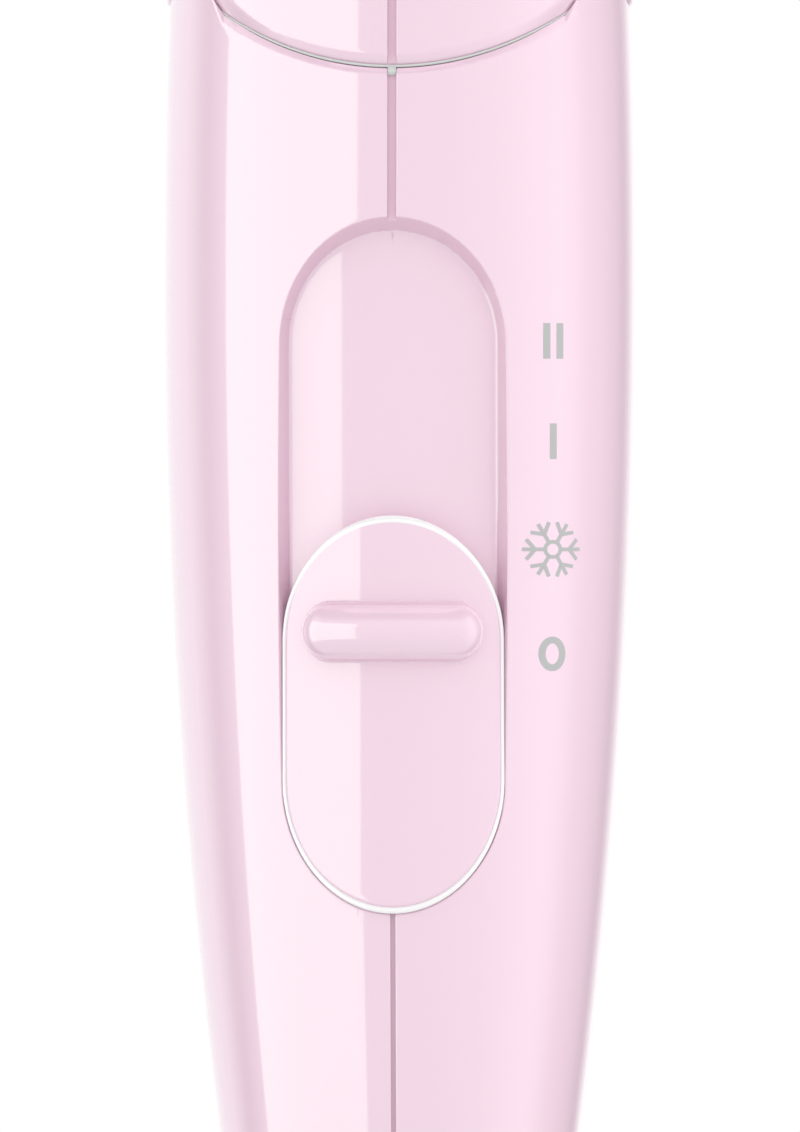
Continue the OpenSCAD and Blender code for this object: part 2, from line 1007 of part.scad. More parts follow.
module fan_impeller() {
    color(DARK)
        on_barrel()
            difference() {
                union() {
                    translate([0, 0, fan_back])
                        cylinder(r1 = fan_hub_r - 3, r2 = fan_hub_r, h = 4);
                    translate([0, 0, fan_back + 4])
                        cylinder(r = fan_hub_r, h = fan_front - fan_back - 4);
                    intersection() {
                        ring(fan_r, fan_hub_r - 3.5, fan_back + 1, fan_front - 0.5);
                        for (i = [0 : 8])
                            rotate([0, 0, 40 * i])
                                translate([0, 0, (fan_back + fan_front) / 2])
                                    rotate([48, 0, 0])
                                        translate([fan_hub_r - 3, -0.6, -12])
                                            cube([fan_r, 1.2, 24]);
                    }
                }
                translate([0, 0, fan_back - 1])
                    cylinder(r = shaft_r, h = 30, $fn = SMALL);
            }
}

// ---- nozzle ----------------------------------------------------------------

module mouth_shape(r) {
    reach = (mouth_w - mouth_h) / 2;
    for (side = [-1, 1])
        translate([side * reach, 0])
            circle(r = r, $fn = SMALL);
    square([2 * reach, 2 * r], center = true);
}

module nozzle_loft(inset) {
    hull() {
        translate([0, 0, nozzle_socket - 0.5])
            cylinder(r = collar_r + nozzle_gap + nozzle_wall - inset, h = 0.5, $fn = 48);
        translate([0, 0, mouth_y - 0.5])
            linear_extrude(0.5)
                mouth_shape(mouth_h / 2 - inset);
    }
}

module concentrator_nozzle() {
    socket_r = collar_r + nozzle_gap;
    color(PINK)
        on_barrel() {
            ring(socket_r + nozzle_wall, socket_r, nozzle_start, nozzle_socket);
            difference() {
                nozzle_loft(0);
                nozzle_loft(nozzle_wall);
                translate([0, 0, mouth_y - 1])
                    linear_extrude(3)
                        mouth_shape(mouth_h / 2 - nozzle_wall);
            }
        }
}

handle_shell_left();
handle_shell_right();
hinge_pins();
hinge_caps();
slider_cap();
slider_carriage();
switch_body();
switch_contacts();
detent_spring();
cord_gland();
cord_clamp();
cord_clamp_screws();
hanging_loop();
handle_screws();
barrel_shell_left();
barrel_shell_right();
barrel_screws();
inlet_grille();
inlet_filter();
outlet_collar();
outlet_grille();
heat_sleeve();
heater_frame();
heater_coils();
thermostat();
thermal_fuse();
fan_duct();
motor_can();
diode_board();
motor_shaft();
fan_impeller();
concentrator_nozzle();
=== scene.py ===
"""Finish of a folding hair dryer: smooth shells, slide switch, nozzle, printed marks and studio."""

import json
import math

import bmesh
import bpy
import numpy as np
from bpy.props import FloatProperty, FloatVectorProperty
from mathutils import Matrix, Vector

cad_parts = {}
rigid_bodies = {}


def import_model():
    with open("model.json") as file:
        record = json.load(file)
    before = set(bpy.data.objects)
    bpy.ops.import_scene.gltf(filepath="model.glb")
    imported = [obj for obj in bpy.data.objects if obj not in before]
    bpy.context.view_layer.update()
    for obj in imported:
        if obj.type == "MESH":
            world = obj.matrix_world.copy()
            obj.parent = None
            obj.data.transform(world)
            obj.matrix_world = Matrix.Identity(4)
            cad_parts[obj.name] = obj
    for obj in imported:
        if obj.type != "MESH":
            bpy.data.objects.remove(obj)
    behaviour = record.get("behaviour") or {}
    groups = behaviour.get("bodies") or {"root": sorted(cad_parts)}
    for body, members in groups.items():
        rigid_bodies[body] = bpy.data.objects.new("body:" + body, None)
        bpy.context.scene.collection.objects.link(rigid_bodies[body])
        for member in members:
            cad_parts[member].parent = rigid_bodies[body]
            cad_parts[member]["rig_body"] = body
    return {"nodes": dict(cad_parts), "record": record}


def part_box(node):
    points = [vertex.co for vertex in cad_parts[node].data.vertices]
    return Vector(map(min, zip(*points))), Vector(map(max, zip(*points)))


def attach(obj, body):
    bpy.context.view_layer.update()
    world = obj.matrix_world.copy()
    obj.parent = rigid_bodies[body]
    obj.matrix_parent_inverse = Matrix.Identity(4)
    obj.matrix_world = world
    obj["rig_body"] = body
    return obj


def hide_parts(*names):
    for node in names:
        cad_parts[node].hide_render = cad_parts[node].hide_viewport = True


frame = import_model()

bl_info = {
    "name": "Folding Hair Dryer Finish",
    "version": (1, 0, 0),
    "blender": (4, 5, 0),
    "location": "3D View > Sidebar > Dryer",
    "description": "Smooth shells, switch, nozzle, marks and studio for a folding hair dryer",
    "category": "Object",
}

MM = 0.001


# ---- places taken from the frame --------------------------------------------

def joint_box(*nodes):
    """Lowest and highest corner of several nodes together."""
    lows, highs = zip(*(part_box(node) for node in nodes))
    return Vector(map(min, *lows)), Vector(map(max, *highs))


HANDLE_LOW, HANDLE_HIGH = joint_box("handle_shell_left", "handle_shell_right")
BARREL_LOW, BARREL_HIGH = joint_box("barrel_shell_left", "barrel_shell_right")
PINS_LOW, PINS_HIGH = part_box("hinge_pins")
CAPS_LOW, CAPS_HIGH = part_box("hinge_caps")
GRILLE_LOW, GRILLE_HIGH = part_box("inlet_grille")
COLLAR_LOW, COLLAR_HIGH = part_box("outlet_collar")
NOZZLE_LOW, NOZZLE_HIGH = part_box("concentrator_nozzle")
HINGE_Z = (PINS_LOW.z + PINS_HIGH.z) / 2
BARREL_Z = (GRILLE_LOW.z + GRILLE_HIGH.z) / 2
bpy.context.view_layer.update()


# ---- sizes and colours that a user would change ------------------------------

def length(name, text, value):
    """A length that a user can change."""
    return FloatProperty(name=name, description=text, default=value, min=0, unit="LENGTH", precision=5)


def colour(name, text, value):
    """A colour that a user can change."""
    return FloatVectorProperty(
        name=name, description=text, default=value, size=3, min=0, max=1, subtype="COLOR")


def strength(name, text, value):
    """A plain factor that a user can change."""
    return FloatProperty(name=name, description=text, default=value, min=0)


def angle(name, text, degrees):
    """An angle that a user can change."""
    return FloatProperty(name=name, description=text, default=math.radians(degrees), subtype="ANGLE")


class DryerHandle(bpy.types.PropertyGroup):
    """Sizes of the handle, its joint with the neck and the pin caps"""
    radius: length("Radius", "Radius of the handle where it is widest", (HANDLE_HIGH.x - HANDLE_LOW.x) / 2)
    widest: length("Widest place", "Height of the widest place", 97 * MM)
    flank: length("Flank radius", "Radius of the long curve of the flanks", 567 * MM)
    foot_round: length("Foot rounding", "Rounding of the handle's foot", 6 * MM)
    ear: length("Ear radius", "Radius of the tops of the two ears", 12.2 * MM)
    gap: length("Neck gap", "Gap between the neck and the handle", 0.35 * MM)
    side_gap: length("Side gap", "Gap between the knuckle and each ear", 0.15 * MM)
    joint_height: length("Joint height", "Lowest point of the curved joint line", 115.1 * MM)
    joint_radius: length("Joint radius", "Radius of the curved joint line", 23.1 * MM)
    knuckle: length("Knuckle half width", "Half width of the neck's knuckle", 15.5 * MM)
    sweep: length("Front sweep", "Radius of the opening for the folded neck", 20.3 * MM)
    lip: length("Lip bevel", "Depth of the bevel on the edge that faces the neck", 0.52 * MM)
    rim: length("Pocket rounding", "Rounding of the edge round the slider's pocket", 0.12 * MM)
    # the strip in the joint line is painted shade: a pale grey tube where the gap between neck and handle
    # shows its shade
    shade_strip: length("Seal", "Half thickness of the pale seal in the joint line", 0.12 * MM)
    neck_edge: length("Neck edge rounding", "Rounding of the neck's lower edge", 0.1 * MM)
    cap_rise: length("Pin cap rise", "Rise of the pin caps above the handle", 0.3 * MM)
    cap_edge: length("Pin cap edge", "Rounding of the pin caps' rims", 0.6 * MM)
    cap_back: length("Pin cap back", "Distance of the pin caps' back ends from the middle", 17.2 * MM)


class DryerSeam(bpy.types.PropertyGroup):
    """Sizes of the sunk line between the halves"""
    depth: length("Seam depth", "Depth of the line between the halves", 0.5 * MM)
    wide: length("Wide half", "Half width of the line above the pocket", 0.37 * MM)
    narrow: length("Narrow half", "Half width of the line elsewhere", 0.2 * MM)
    rounding: length("Seam rounding", "Rounding of the line's edges", 0.1 * MM)


class DryerSlider(bpy.types.PropertyGroup):
    """Sizes of the slider's track, pocket, cap and bar"""
    tilt: angle("Track tilt", "Lean of the track from the handle's axis", 2.5)
    middle: length("Track middle", "Height at which the track's depth is measured", 70 * MM)
    floor_depth: length("Floor depth", "Depth of the pocket's floor", 2.8 * MM)
    floor_radius: length("Floor radius", "Radius of the pocket's round floor", 30 * MM)
    draft: strength("Draft", "How far the pocket's walls open per depth", 0.6)
    pocket_half: length("Pocket half width", "Half width of the pocket on its floor", 9.5 * MM)
    pocket_low: length("Pocket low", "Height of the pocket's lower round end", 53.6 * MM)
    pocket_high: length("Pocket high", "Height of the pocket's upper round end", 90.8 * MM)
    cap_half: length("Cap half width", "Half width of the cap on the track's floor line", 9.3 * MM)
    cap_low: length("Cap low", "Height of the cap's lower round end", 54.0 * MM)
    cap_high: length("Cap high", "Height of the cap's upper round end", 65.8 * MM)
    cap_radius: length("Cap back radius", "Radius of the cap's round outer face", 18.6 * MM)
    cap_rise: length("Cap rise", "Rise of the cap above the track's floor line", 2.45 * MM)
    cap_gap: length("Cap gap", "Gap between the cap and the floor", 0.35 * MM)
    cap_edge: length("Cap edge", "Rounding of the cap's edge", 0.55 * MM)
    # the bead is a painted highlight: a white ring that stands in for the highlight on the cap's edge
    highlight_bead: length("Bead", "Half thickness of the pale bead round the cap's edge", 0.5 * MM)
    bead_out: length("Bead reach", "How far the bead stands out past the cap's edge", 0.15 * MM)
    grip_height: length("Grip height", "Height of the raised bar", 66.6 * MM)
    grip_width: length("Grip width", "Width of the raised bar", 15.3 * MM)
    grip_radius: length("Grip radius", "Half thickness of the raised bar", 2.55 * MM)
    grip_foot: length("Grip foot", "Rounding of the corner round the bar's foot", 0.12 * MM)
    # the bar's deeper pink line is painted shade in the corner round its foot
    bar_shade_line: length("Bar line", "Height above the cap where the bar's deeper pink line starts", 0.35 * MM)
    bar_shade_line_width: length("Bar line width", "Width of the bar's deeper pink line", 0.6 * MM)
    grip_rise: length("Grip rise", "Rise of the bar above the handle's line", 2.0 * MM)


class DryerBarrel(bpy.types.PropertyGroup):
    """Sizes of the barrel and its neck"""
    radius: length("Radius", "Largest radius of the barrel", (BARREL_HIGH.x - BARREL_LOW.x) / 2)
    flank: length("Flank radius", "Radius of the barrel's long curve", 576 * MM)
    widest: FloatProperty(
        name="Widest place", description="Where along the barrel it is widest",
        default=-12 * MM, unit="LENGTH", precision=5)
    back_round: length("Back rounding", "Rounding of the barrel's back edge", 8 * MM)
    inlet: length("Inlet radius", "Radius of the opening at the back", 24 * MM)
    collar: length("Collar radius", "Radius of the front collar", (COLLAR_HIGH.x - COLLAR_LOW.x) / 2)
    flare_height: length("Flare height", "Height at which the neck starts to flare", 139 * MM)
    flare_radius: length("Flare radius", "Radius of the neck's flare", 16 * MM)
    neck_top: length("Neck top", "Radius of the neck where it enters the barrel", 23 * MM)
    neck_blend: length("Neck blend", "Rounding between the neck and the barrel", 3.5 * MM)
    front_edge: length("Front edge", "Rounding of the front edge", 0.9 * MM)


class DryerNozzle(bpy.types.PropertyGroup):
    """Sizes of the nozzle"""
    wall: length("Wall", "Wall of the nozzle", 1.6 * MM)
    shoulder: length("Shoulder", "Where the round socket starts to flatten", 92.2 * MM)
    mouth: length("Mouth", "Height of the flat mouth", 10 * MM)
    lip: length("Lip", "Rounding of the rims", 0.5 * MM)


class DryerMarks(bpy.types.PropertyGroup):
    """Places and strokes of the printed marks"""
    across: length("Across", "Distance of the marks from the seam, along the surface", 14.75 * MM)
    stretch: strength("Stretch", "How much wider the marks are than they look from the front", 1.33)
    stroke: length("Stroke", "Width of the printed strokes", 0.57 * MM)
    fine_stroke: length("Fine stroke", "Width of the snow crystal's strokes", 0.31 * MM)
    proud: length("Proud", "Thickness of the ink on the plastic", 0.012 * MM)
    off_height: length("Off height", "Height of the nought", 64.7 * MM)
    cool_height: length("Cool height", "Height of the snow crystal", 73.5 * MM)
    low_height: length("Low height", "Height of the single bar", 82.6 * MM)
    high_height: length("High height", "Height of the double bar", 91.05 * MM)


class DryerFinish(bpy.types.PropertyGroup):
    """Colours of the plastics, metals and ink"""
    shell: colour("Shell", "Pale pink of the gloss shells", (0.88, 0.66, 0.775))
    slider: colour("Slider", "Pale pink of the slide switch", (0.88, 0.66, 0.775))
    # painted shade: a deeper pink that stands in for the shade on the pocket's walls, in the seam's sunk
    # line and round the slider bar's foot
    painted_shade: colour("Recess", "Deeper pink of the pocket's walls and the seam's line", (0.78, 0.54, 0.66))
    trim: colour("Trim", "Off-white of collar, grille, gland and loop", (0.80, 0.76, 0.78))
    # the bead's white is a painted highlight on the slider cap's edge
    highlight_bead: colour("Bead", "White of the bead round the slider's cap", (0.91, 0.91, 0.91))
    # painted shade: the grey of the strip that stands in for the gap's shade in the joint line, also used
    # on the key under it
    shade_strip: colour("Seal", "Pale grey of the seal in the joint line", (0.66, 0.69, 0.67))
    ink: colour("Ink", "Grey of the printed marks", (0.47, 0.48, 0.475))
    inner: colour("Inner", "Dark plastic of the parts inside", (0.035, 0.035, 0.04))
    inner_pale: colour("Inner pale", "Pale plastic of the parts inside", (0.62, 0.58, 0.6))
    board: colour("Board", "Green of the small circuit board", (0.03, 0.13, 0.06))
    mica: colour("Mica", "Mica of the heater's boards and sleeve", (0.55, 0.48, 0.36))
    steel: colour("Steel", "Bright steel of pins and screws", (0.62, 0.63, 0.65))
    brass: colour("Brass", "Brass of the switch's contacts", (0.72, 0.52, 0.22))
    wire: colour("Wire", "Oxidised wire of the heater", (0.3, 0.27, 0.25))


class DryerStage(bpy.types.PropertyGroup):
    """Light and camera of the studio"""
    ambient: strength("Ambient", "Strength of the light from all round", 1.11)
    front: strength("Front", "White seen in the gloss from the front", 1.15)
    side: strength("Side", "White seen in the gloss from beside and above", 0.1)
    strip: strength("Strip", "Strength of the tall strip lamp in the gloss", 1.7)
    strip_colour: colour("Strip colour", "Colour of the tall strip lamp", (0.78, 1.0, 0.8))
    soft: strength("Soft lamps", "Strength of the two soft lamps", 1.75)
    distance: length("Distance", "Distance of the camera", 1.6)
    tall: length("Tall", "Height of what the camera frames", 96.2 * MM)
    level: length("Level", "Height of the camera", 72.1 * MM)
    azimuth: angle("Azimuth", "How far the camera stands to the right", 2)


GROUPS = {
    "dryer_handle": DryerHandle,
    "dryer_seam": DryerSeam,
    "dryer_slider": DryerSlider,
    "dryer_barrel": DryerBarrel,
    "dryer_nozzle": DryerNozzle,
    "dryer_marks": DryerMarks,
    "dryer_finish": DryerFinish,
    "dryer_stage": DryerStage,
}


# ---- small fixed sizes ----------------------------------------------------------

# handle
EAR_EDGE = 1.2 * MM  # rounding of the ears' edges
OPENING_EDGE = 0.05 * MM  # rounding of the opening that the neck moves in
POCKET_FOOT = 0.25 * MM  # rounding of the corner round the pocket's floor
BEVEL_STEEP = 1.66  # weight of the handle's skin in the bevel that faces the neck
BEVEL_LEAN = 0.9  # weight of the neck's room in it
BEVEL_END = 0.1 * MM  # how far it reaches past the knuckle's half width
BEVEL_FADE = 1.2 * MM  # width over which it fades out
BEVEL_EDGE = 0.08 * MM  # rounding of its edges

# barrel
BACK_STEP = 0.5 * MM  # how much narrower the barrel is at its back
NECK_END = 12 * MM  # how far under the barrel's middle the neck's surface ends
SHOULDER_EDGE = 0.5 * MM  # rounding of the neck's edges over the ears
MOUTH_DEPTH = 10 * MM  # depth of the openings at both ends
COLLAR_GAP = 0.1 * MM  # gap round the collar
INLET_EDGE = 0.6 * MM  # rounding of the opening at the back
OUTLET_EDGE = 0.3 * MM  # rounding of the opening at the front

# faces that take the deeper pink, which paints shade on the pocket's walls, in the seam's line and round
# the bar's foot
NEAR = 0.1 * MM  # how near a face lies to the surface that it belongs to
SPARE = 0.03 * MM  # allowance past an edge
LINE_SHADE_START = 0.15 * MM  # depth at which the seam's line turns deeper
WALL_SHADE_FOOT = 0.12 * MM  # height over the floor at which the pocket's walls do
BAR_SKIN = 0.05 * MM  # how near a face lies to the slider's bar
BAR_FOOT = 1.1 * MM  # height over the cap up to which the bar's mesh is fine

# white bead round the slider's cap, a painted highlight: it stands in for the highlight on the cap's edge,
# thickest at the upper end and reaching further out at the lower end, where that highlight shows
BEAD_SIDE = 0.34  # share of its thickness at the sides
BEAD_UPPER = 0.66  # what the upper end adds
BEAD_LOWER = 0.25  # what the lower end adds
BEAD_LOWER_OUT = 0.4 * MM  # how much further the bead stands out at the lower end
BEAD_RISE = 0.02 * MM  # how far it stands above the cap's face

# key that fills the seam under the joint line
KEY_HALF = 0.36 * MM  # half its width
KEY_DEPTH = 0.5 * MM  # how deep it reaches into the handle
KEY_HEIGHT = 0.75 * MM  # how far it reaches down from the seal
KEY_SUNK = 0.12 * MM  # how far its face lies under the handle's skin

# printed marks
INK_ROOT = 0.03 * MM  # how far the ink reaches into the plastic
INK_LAYER = 0.001 * MM  # step in thickness, so that strokes that cross don't lie in one plane

# meshes
WELD = 0.5e-6  # points nearer than this are one
ON_SKIN = 0.08 * MM  # how near a node's point lies to the sharp solid that it belongs to
STRAY_SHARE = 0.25  # how far off the solid a side's middle may lie, as a share of the side
STRAY_LEAST = 0.02 * MM  # and what it may always be off
NO_LIMIT = 1  # a side longer than the whole dryer


# ---- solids as signed distances, negative inside ------------------------------

def round_over(a, b, radius):
    """What is inside both a and b, with the edge between them rounded."""
    inner = np.minimum(np.maximum(a, b), -radius)
    return inner + np.hypot(np.maximum(a + radius, 0), np.maximum(b + radius, 0))


def fill_in(a, b, radius):
    """What is inside a or b, with a rounded corner between them."""
    return -round_over(-a, -b, radius)


def flank_radius(z, handle):
    """Radius of the handle at a height."""
    return handle.radius - handle.flank + np.sqrt(handle.flank ** 2 - (z - handle.widest) ** 2)


def handle_skin(points, handle):
    """Distance from the handle's turned surface, without its foot."""
    rho = np.hypot(points[:, 0], points[:, 1])
    return np.hypot(rho - handle.radius + handle.flank, points[:, 2] - handle.widest) - handle.flank


def knuckle_radius(x, handle):
    """Radius of the neck's knuckle about the pins, at a distance from the middle."""
    x = np.minimum(np.abs(x), handle.knuckle)
    z = handle.joint_height + handle.joint_radius - np.sqrt(handle.joint_radius ** 2 - x ** 2)
    return np.sqrt((HINGE_Z - z) ** 2 + flank_radius(z, handle) ** 2 - x ** 2)


def knuckle_solid(points, handle, grow, half):
    """Distance from the neck's knuckle, grown all round and cut to a half width."""
    x, y, z = points.T
    step = 0.1 * MM
    radius = knuckle_radius(x, handle)
    slope = (knuckle_radius(x + step, handle) - knuckle_radius(x - step, handle)) / (2 * step)
    around = (np.hypot(y, z - HINGE_Z) - radius - grow) / np.sqrt(1 + slope ** 2)
    return np.maximum(around, np.abs(x) - half)


def neck_room(points, handle):
    """The space that the neck needs between the ears over the whole fold."""
    x, y, z = points.T
    half = handle.knuckle + handle.side_gap
    below = np.minimum(
        knuckle_solid(points, handle, handle.gap, half),
        np.maximum(-y, np.hypot(x, z - HINGE_Z) - handle.sweep))
    return np.maximum(np.minimum(below, HINGE_Z - z), np.abs(x) - half)


def track_place(handle, slider):
    """Where the slider's track starts, and the cosine and sine of its lean."""
    start = slider.floor_depth - flank_radius(slider.middle, handle)
    return start, math.cos(slider.tilt), math.sin(slider.tilt)


def to_track(points, handle, slider):
    """Points in the slider track's own frame, where the floor line lies at y = 0."""
    start, c, s = track_place(handle, slider)
    y = points[:, 1] - start
    z = points[:, 2] - slider.middle
    return np.column_stack([points[:, 0], c * y + s * z, c * z - s * y + slider.middle])


def from_track(track, handle, slider):
    """The way back from the track's own frame."""
    start, c, s = track_place(handle, slider)
    y, z = track[:, 1], track[:, 2] - slider.middle
    return np.column_stack([track[:, 0], c * y - s * z + start, c * z + s * y + slider.middle])


def stadium(track, half, low, high, draft):
    """Distance from a stadium whose walls open outwards."""
    past = track[:, 2] - np.clip(track[:, 2], low, high)
    return (np.hypot(track[:, 0], past) - half + draft * track[:, 1]) / math.sqrt(1 + draft ** 2)


def pocket_parts(points, handle, slider):
    """Distances from the round floor and from the drafted walls of the slider's pocket."""
    track = to_track(points, handle, slider)
    floor = np.hypot(track[:, 0], track[:, 1] - slider.floor_radius) - slider.floor_radius
    walls = stadium(track, slider.pocket_half, slider.pocket_low, slider.pocket_high, slider.draft)
    return floor, walls


def handle_solid(points, settings, soft=1.0):
    """The handle's outer surface. soft is 0 for sharp edges and 1 for the rounded ones."""
    handle, slider, seam = settings.dryer_handle, settings.dryer_slider, settings.dryer_seam
    x, y, z = points.T
    rho = np.hypot(x, y)
    skin = handle_skin(points, handle)
    foot = HANDLE_LOW.z
    shoulder = foot + handle.foot_round
    reach = handle.flank - handle.foot_round
    lean = math.asin((handle.widest - shoulder) / reach)
    turn = handle.radius - handle.flank + reach * math.cos(lean)
    outer = np.where(
        (z < shoulder) & (rho > turn),
        np.hypot(rho - turn, z - shoulder) - handle.foot_round,
        np.maximum(skin, foot - z))
    ears = np.minimum(z - HINGE_Z, np.hypot(y, z - HINGE_Z) - handle.ear)
    body = round_over(outer, ears, soft * EAR_EDGE)
    room = -neck_room(points, handle)
    body = round_over(body, room, soft * OPENING_EDGE)
    # the edge that faces the neck is cut by a steep bevel, which fades out towards the ears
    depth = handle.lip * np.clip((handle.knuckle + BEVEL_END - np.abs(x)) / BEVEL_FADE, 0, 1)
    bevel = BEVEL_STEEP * skin + BEVEL_LEAN * room + soft * depth
    body = np.where(soft > 0, round_over(body, bevel, soft * BEVEL_EDGE), body)
    half = np.where((y < 0) & (z > slider.pocket_high), seam.wide, seam.narrow)
    line = np.maximum(np.abs(x) - half, -skin - seam.depth)
    body = round_over(body, -line, soft * seam.rounding)
    floor, walls = pocket_parts(points, handle, slider)
    pocket = round_over(np.where(y < 0, walls, 1), -floor, soft * POCKET_FOOT)
    return round_over(body, -pocket, soft * handle.rim)


def cap_parts(points, settings, soft):
    """The slider's cap and its raised bar."""
    handle, slider = settings.dryer_handle, settings.dryer_slider
    track = to_track(points, handle, slider)
    across = track[:, 1] - slider.cap_radius + slider.cap_rise
    outer = np.hypot(track[:, 0], across) - slider.cap_radius
    walls = stadium(track, slider.cap_half, slider.cap_low, slider.cap_high, slider.draft)
    floor = (slider.floor_radius + slider.cap_gap
             - np.hypot(track[:, 0], track[:, 1] - slider.floor_radius))
    cap = np.maximum(round_over(outer, walls, soft * slider.cap_edge), floor)
    reach = flank_radius(slider.grip_height, handle) + slider.grip_rise - slider.grip_radius
    limit = math.asin((slider.grip_width / 2 - slider.grip_radius) / reach)
    place = np.clip(np.arctan2(points[:, 0], -points[:, 1]), -limit, limit)
    spine = np.column_stack([
        reach * np.sin(place), -reach * np.cos(place), np.full(len(points), slider.grip_height)])
    return cap, np.linalg.norm(points - spine, axis=1) - slider.grip_radius


def cap_solid(points, settings, soft=1.0):
    """The slider's cap joined with its raised bar."""
    cap, grip = cap_parts(points, settings, soft)
    return fill_in(cap, grip, soft * settings.dryer_slider.grip_foot)


def barrel_turned(points, barrel, front_edge):
    """The barrel's turned body, and the distance from its axis."""
    rho = np.hypot(points[:, 0], points[:, 2] - BARREL_Z)
    y = points[:, 1]
    skin = np.hypot(rho - barrel.radius + barrel.flank, y - barrel.widest) - barrel.flank
    turn_r = barrel.radius - BACK_STEP - barrel.back_round
    turn_y = BARREL_LOW.y + barrel.back_round
    back = np.where(
        (y < turn_y) & (rho > turn_r),
        np.hypot(rho - turn_r, y - turn_y) - barrel.back_round,
        np.maximum(skin, BARREL_LOW.y - y))
    return round_over(back, y - BARREL_HIGH.y, front_edge), rho


def neck_turned(points, handle, barrel):
    """The neck's turned surface with its flare."""
    z = points[:, 2]
    rho = np.hypot(points[:, 0], points[:, 1])
    middle = flank_radius(barrel.flare_height, handle) + barrel.flare_radius
    flare = barrel.flare_radius - np.hypot(rho - middle, z - barrel.flare_height)
    flare = np.maximum(flare, rho - barrel.neck_top)
    top = z - BARREL_Z + NECK_END
    return np.where(z < barrel.flare_height, handle_skin(points, handle), np.maximum(flare, top))


def barrel_solid(points, settings, soft=1.0):
    """The outer surface of barrel and neck."""
    handle, barrel, seam = settings.dryer_handle, settings.dryer_barrel, settings.dryer_seam
    x, y, z = points.T
    turned, rho = barrel_turned(points, barrel, soft * barrel.front_edge)
    turned_neck = neck_turned(points, handle, barrel)
    over_ear = handle.ear + handle.gap
    shoulders = np.maximum(
        np.maximum(HINGE_Z - z, over_ear - np.hypot(y, z - HINGE_Z)),
        -np.maximum(-y, z - HINGE_Z - over_ear))
    block = np.maximum(HINGE_Z - z, np.abs(x) - handle.knuckle)
    knuckle = knuckle_solid(points, handle, 0, handle.knuckle)
    lower = round_over(turned_neck, np.minimum(knuckle, block), soft * handle.neck_edge)
    upper = round_over(turned_neck, shoulders, soft * SHOULDER_EDGE)
    neck = np.minimum(lower, upper)
    body = fill_in(turned, neck, soft * barrel.neck_blend)
    half = np.where(z > BARREL_Z, seam.narrow, seam.wide)
    # the seam's line follows the rounded corner between neck and barrel
    skin = fill_in(turned, turned_neck, barrel.neck_blend) if soft else np.minimum(turned, turned_neck)
    line = np.maximum(np.abs(x) - half, -skin - seam.depth)
    body = round_over(body, -line, soft * seam.rounding)
    inlet = np.maximum(rho - barrel.inlet, y - BARREL_LOW.y - MOUTH_DEPTH)
    outlet = np.maximum(rho - barrel.collar - COLLAR_GAP, BARREL_HIGH.y - MOUTH_DEPTH - y)
    body = round_over(body, -inlet, soft * INLET_EDGE)
    return round_over(body, -outlet, soft * OUTLET_EDGE)


# ---- places with painted shade (a deeper pink) or a finer mesh ------------------

def in_seam_shade(points, skin, seam):
    """Whether points lie deep in the sunk line of the seam, where a deeper pink paints its shade."""
    shaded = (skin < -LINE_SHADE_START) & (skin > -seam.depth - NEAR)
    return shaded & (np.abs(points[:, 0]) < seam.wide + SPARE)


def handle_shade(points, settings):
    """Whether points of the handle lie on the pocket's walls or in the seam's line, which take painted
    shade.
    """
    handle, slider = settings.dryer_handle, settings.dryer_slider
    floor, walls = pocket_parts(points, handle, slider)
    skin = handle_skin(points, handle)
    wall = (points[:, 1] < 0) & (np.abs(walls) < NEAR) & (floor > WALL_SHADE_FOOT) & (skin < -SPARE)
    return wall | in_seam_shade(points, skin, settings.dryer_seam)


def barrel_shade(points, settings):
    """Whether points of the barrel lie in the seam's line, which takes painted shade."""
    handle, barrel = settings.dryer_handle, settings.dryer_barrel
    turned = barrel_turned(points, barrel, 0)[0]
    neck = neck_turned(points, handle, barrel)
    return in_seam_shade(points, fill_in(turned, neck, barrel.neck_blend), settings.dryer_seam)


def bar_shade_line(points, settings):
    """Whether points lie in the narrow band round the foot of the slider's bar, where a deeper pink paints
    the shade of the corner.
    """
    slider = settings.dryer_slider
    cap, grip = cap_parts(points, settings, 1.0)
    start = slider.bar_shade_line
    return (grip < BAR_SKIN) & (cap > start) & (cap < start + slider.bar_shade_line_width)


def barrel_fine(points, settings):
    """Longest side allowed on the barrel: short on the knuckle's edge and round the neck's top."""
    knuckle_top, knuckle_back = HINGE_Z + 2 * MM, -5 * MM
    flare_reach, flare_top = 28 * MM, 152 * MM
    knuckle_side, flare_side = 0.4 * MM, 0.9 * MM
    edge = (points[:, 2] < knuckle_top) & (points[:, 1] < knuckle_back)
    top = (np.hypot(points[:, 0], points[:, 1]) < flare_reach) & (points[:, 2] < flare_top)
    return np.where(edge, knuckle_side, np.where(top, flare_side, NO_LIMIT))


def bar_fine(points, settings):
    """Longest side allowed on the slider's cap: short round the bar's foot."""
    foot_side = 0.12 * MM
    cap, grip = cap_parts(points, settings, 1.0)
    near = (np.abs(grip) < NEAR) & (cap < BAR_FOOT)
    return np.where(near, foot_side, NO_LIMIT)


# ---- mesh work -----------------------------------------------------------------

def node_mesh(node):
    """Points and triangles of a CAD node, welded."""
    bm = bmesh.new()
    bm.from_mesh(frame["nodes"][node].data)
    bmesh.ops.remove_doubles(bm, verts=bm.verts, dist=WELD)
    bmesh.ops.triangulate(bm, faces=bm.faces)
    points = np.array([v.co for v in bm.verts], float)
    faces = np.array([[v.index for v in f.verts] for f in bm.faces], int)
    bm.free()
    return points, faces


